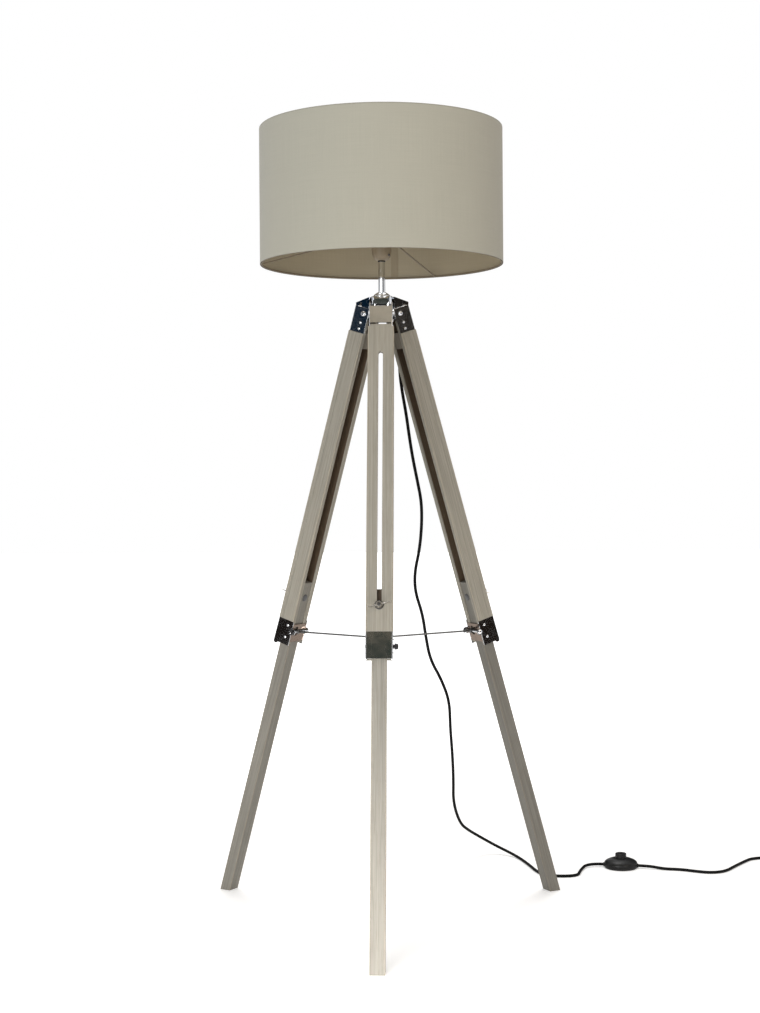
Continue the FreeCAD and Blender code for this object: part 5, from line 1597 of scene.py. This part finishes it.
@dataclass
class Plug(Assembly):
    """Three-pin plug on its back: shell, sleeve, fuse drawer, screw and pins."""

    spot: tuple[float, float] = (866.3, 562.0)
    start: float = 24.0
    end: float = 70.0
    tall: float = 22.0
    half: float = 24.0
    parting: float = 0.3
    nose_round: float = 15.5
    shoulder_round: float = 7.0
    side_round: float = 2.6
    groove_deep: float = 0.6
    groove_tall: float = 0.5
    grips: tuple[float, ...] = (47.0, 50.0, 53.0, 56.0)
    grip_wide: float = 1.4
    grip_deep: float = 0.8
    pin_round: float = 1.1
    sleeve_high: float = 9.8
    sleeve_thin: float = 3.5
    sleeve_spread: float = 1.1
    pins: tuple[tuple[float, float, float, float], ...] = (
        (11.0, 39.0, 6.4, 4.0), (-11.0, 39.0, 6.4, 4.0), (0.0, 61.0, 4.0, 8.0))

    def place(self) -> Matrix:
        """Frame on the floor under the cord's end at the plug, with Y into the plug."""
        spot = Matrix.Translation((self.spot[0] * MM, self.spot[1] * MM, 0))
        return spot @ Matrix.Scale(MM, 4)

    def build(self) -> None:
        """Make the plug's pieces."""
        shell = self.shell()
        thin, taper = self.sleeve_thin, self.sleeve_spread / self.start
        wide, first = thin + 0.6 * taper, 0.6
        sleeve = turned([
            (3.05, 0.0), (thin, 0.0),
            *repeated(first, self.start - 3.0, 2.9,
                      [(wide, 0), (wide, 1.6), (wide - 0.45, 1.9), (wide - 0.45, 2.6)], taper),
            (4.6, self.start - 0.6), (5.4, self.start + 2.0), (3.05, self.start + 2.0)],
            48, hollow=True)
        moved(sleeve, Matrix.Translation((0, 0, self.sleeve_high)) @ ALONG_Y)
        self.put(joined(shell, sleeve), "plug_shell", Slot.BLACK, ["plug_body"], smooth=30)
        top = self.tall
        fuse = softened(block((-4.2, 44.0, top - 2.0), (4.2, 53.5, top + 0.25)), 0.8, 3)
        carved(fuse, block((-3.0, 48.2, top - 0.3), (3.0, 49.2, top + 1.0)))
        self.put(fuse, "plug_fuse_drawer", Slot.BLACK)
        screw = moved(slotted_screw(3.0, 0.9, 3.0), Matrix.Translation((0, 35.0, top - 0.5)))
        self.put(screw, "plug_screw", Slot.STEEL)
        blades = []
        for across, ahead, wide, long in self.pins:
            blade = block((across - wide / 2, ahead - long / 2, top - 1),
                          (across + wide / 2, ahead + long / 2, top + 18))
            pick(blade, Kind.FACES, lambda _, normal: normal.z > STRAIGHT)
            bpy.ops.mesh.bevel(offset=self.pin_round, segments=3, affect="EDGES")
            done()
            blades.append(softened(blade, 0.25, 2, FOLD_ANGLE))
        self.put(joined(*blades), "plug_blades", Slot.PINS, ["plug_pins"])

    def shell(self) -> Piece:
        """Make the plug's shell with rounded sides, a parting line and grip grooves."""
        case = block((-self.half, self.start, 0.0), (self.half, self.end, self.tall))

        def nose(spot: Vector, way: Vector) -> bool:
            """Pick the two upright corners towards the cord."""
            return abs(way.z) > STRAIGHT and spot.y < self.start + 1

        def shoulder(spot: Vector, way: Vector) -> bool:
            """Pick the two upright corners away from the cord."""
            return abs(way.z) > STRAIGHT and spot.y > self.end - 1

        pick(case, Kind.EDGES, nose)
        bpy.ops.mesh.bevel(offset=self.nose_round, segments=6, affect="EDGES", profile=0.4)
        done()
        pick(case, Kind.EDGES, shoulder)
        bpy.ops.mesh.bevel(offset=self.shoulder_round, segments=5, affect="EDGES")
        done()
        softened(case, self.side_round, 4, 60)
        level, deep = self.tall * self.parting, self.groove_deep
        groove = block((-30, self.start - 5, level), (30, self.end + 5, level + self.groove_tall))
        core = block((-self.half + deep, self.start + deep, -1),
                     (self.half - deep, self.end - deep, self.tall + 1))
        carved(case, carved(groove, core))
        outer, inner = self.half + 2, self.half - self.grip_deep
        return carved(case, *(
            block((side * outer, grip, 5.0), (side * inner, grip + self.grip_wide, 17.0))
            for side in (1, -1) for grip in self.grips))


@dataclass
class MainsCord(Assembly):
    """The mains cord in its two free stretches, with the spare length in a small coil."""

    diameter: float = 0.006
    gland: Spot = (0, 113.45, 1134.5)
    hanging: tuple[Spot, ...] = (
        (0, 135, 1134.5), (3, 155, 1124), (10, 166, 1099), (21, 163, 1071), (30, 152, 1041),
        (30, 144, 1006), (35, 141, 968), (42, 146, 927), (47, 154, 887), (53, 165, 846),
        (61, 176, 804), (69, 186, 762), (69, 201, 717), (64, 218, 668), (54, 233, 625),
        (54, 248, 585), (68, 265, 540), (74, 284, 493), (82, 302, 446), (104, 321, 404),
        (120, 343, 357), (121, 369, 300), (125, 396, 243), (127, 426, 184), (126, 454, 131),
        (140, 487, 81), (158, 519, 60), (181, 546, 41), (214, 567, 18), (259, 532, 3),
        (280, 461, 3), (297, 385, 3), (316, 355, 3), (376, 355, 3), (384, 402, 3),
        (403.05, 452.98, 5.5), (435.55, 447.25, 5.5))
    lying: tuple[Spot, ...] = (
        (506.45, 434.75, 5.5), (530.09, 430.58, 5.5), (556, 418, 3), (590, 413.5, 3),
        (616, 399, 3), (646, 386, 3), (678, 398, 3), (704, 441, 3), (731, 483, 3),
        (752, 512, 3), (789, 520, 3), (826, 520, 3))
    coil_middle: tuple[float, float] = (832.0, 556.0)
    coil_radius: float = 36.0
    coil_pitch: float = 6.8
    coil_turns: float = 2.25
    coil_reversal: float = 1.25
    points_per_turn: int = 16

    def coil(self) -> list[Spot]:
        """Points of the coil: in to the reversal, up onto the first layer and out again."""
        spots: list[Spot] = []
        count = round(self.coil_turns * self.points_per_turn)
        for step in range(count + 1):
            turns = step / self.points_per_turn
            inward = min(turns, 2 * self.coil_reversal - turns)
            radius = self.coil_radius - self.coil_pitch * inward
            climb = min(max((turns - self.coil_reversal + 0.25) / 0.5, 0.0), 1.0)
            rise = self.coil_pitch * climb ** 2 * (3 - 2 * climb)
            angle = 2 * math.pi * turns - math.pi / 2
            spots.append((self.coil_middle[0] + radius * math.cos(angle),
                          self.coil_middle[1] + radius * math.sin(angle), 3 + rise))
        return spots + [(spots[-1][0], spots[-1][1] + 6, spots[-1][2])]

    def curve(self, name: str, spots: Sequence[Spot]) -> Piece:
        """Make one open smooth curve of round section with these points in millimetres."""
        data = bpy.data.curves.new(name, "CURVE")
        data.dimensions = "3D"
        line = data.splines.new("NURBS")
        line.points.add(len(spots) - 1)
        for dot, spot in zip(line.points, spots):
            dot.co = (spot[0] * MM, spot[1] * MM, spot[2] * MM, 1.0)
        line.order_u = 3
        line.use_endpoint_u = True
        line.resolution_u = 10
        data.bevel_depth = self.diameter / 2
        data.bevel_resolution = 5
        data.use_fill_caps = True
        cord = bpy.data.objects.new(name, data)
        bpy.context.collection.objects.link(cord)
        data.materials.append(self.shop.paint.of(Slot.CORD))
        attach(cord, "head")
        LOG.info("%s: %d points", name, len(spots))
        return cord

    def build(self) -> None:
        first = self.curve("cord_lamp_to_switch", [self.gland, *self.hanging])
        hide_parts("cord_to_switch")
        second = self.curve("cord_switch_to_plug", [*self.lying, *self.coil()])
        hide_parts("cord_to_plug", "cord_coil")


def main() -> None:
    """Build the stage and the lamp's sub-assemblies in order."""
    logging.basicConfig(level=logging.INFO, format="%(message)s")
    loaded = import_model()
    Studio().build()
    shop = Workshop(Frame(loaded), Paintshop())
    shop.dress_nodes()
    FootSwitch(shop).build()
    Plug(shop).build()
    MainsCord(shop).build()
    Shade(shop).build()
    LampHolder(shop).build()
    Hub(shop).build()
    Legs(shop).build()
    Brace(shop).build()
    LOG.info("%d pieces made", shop.count)


if __name__ == "__main__":
    main()
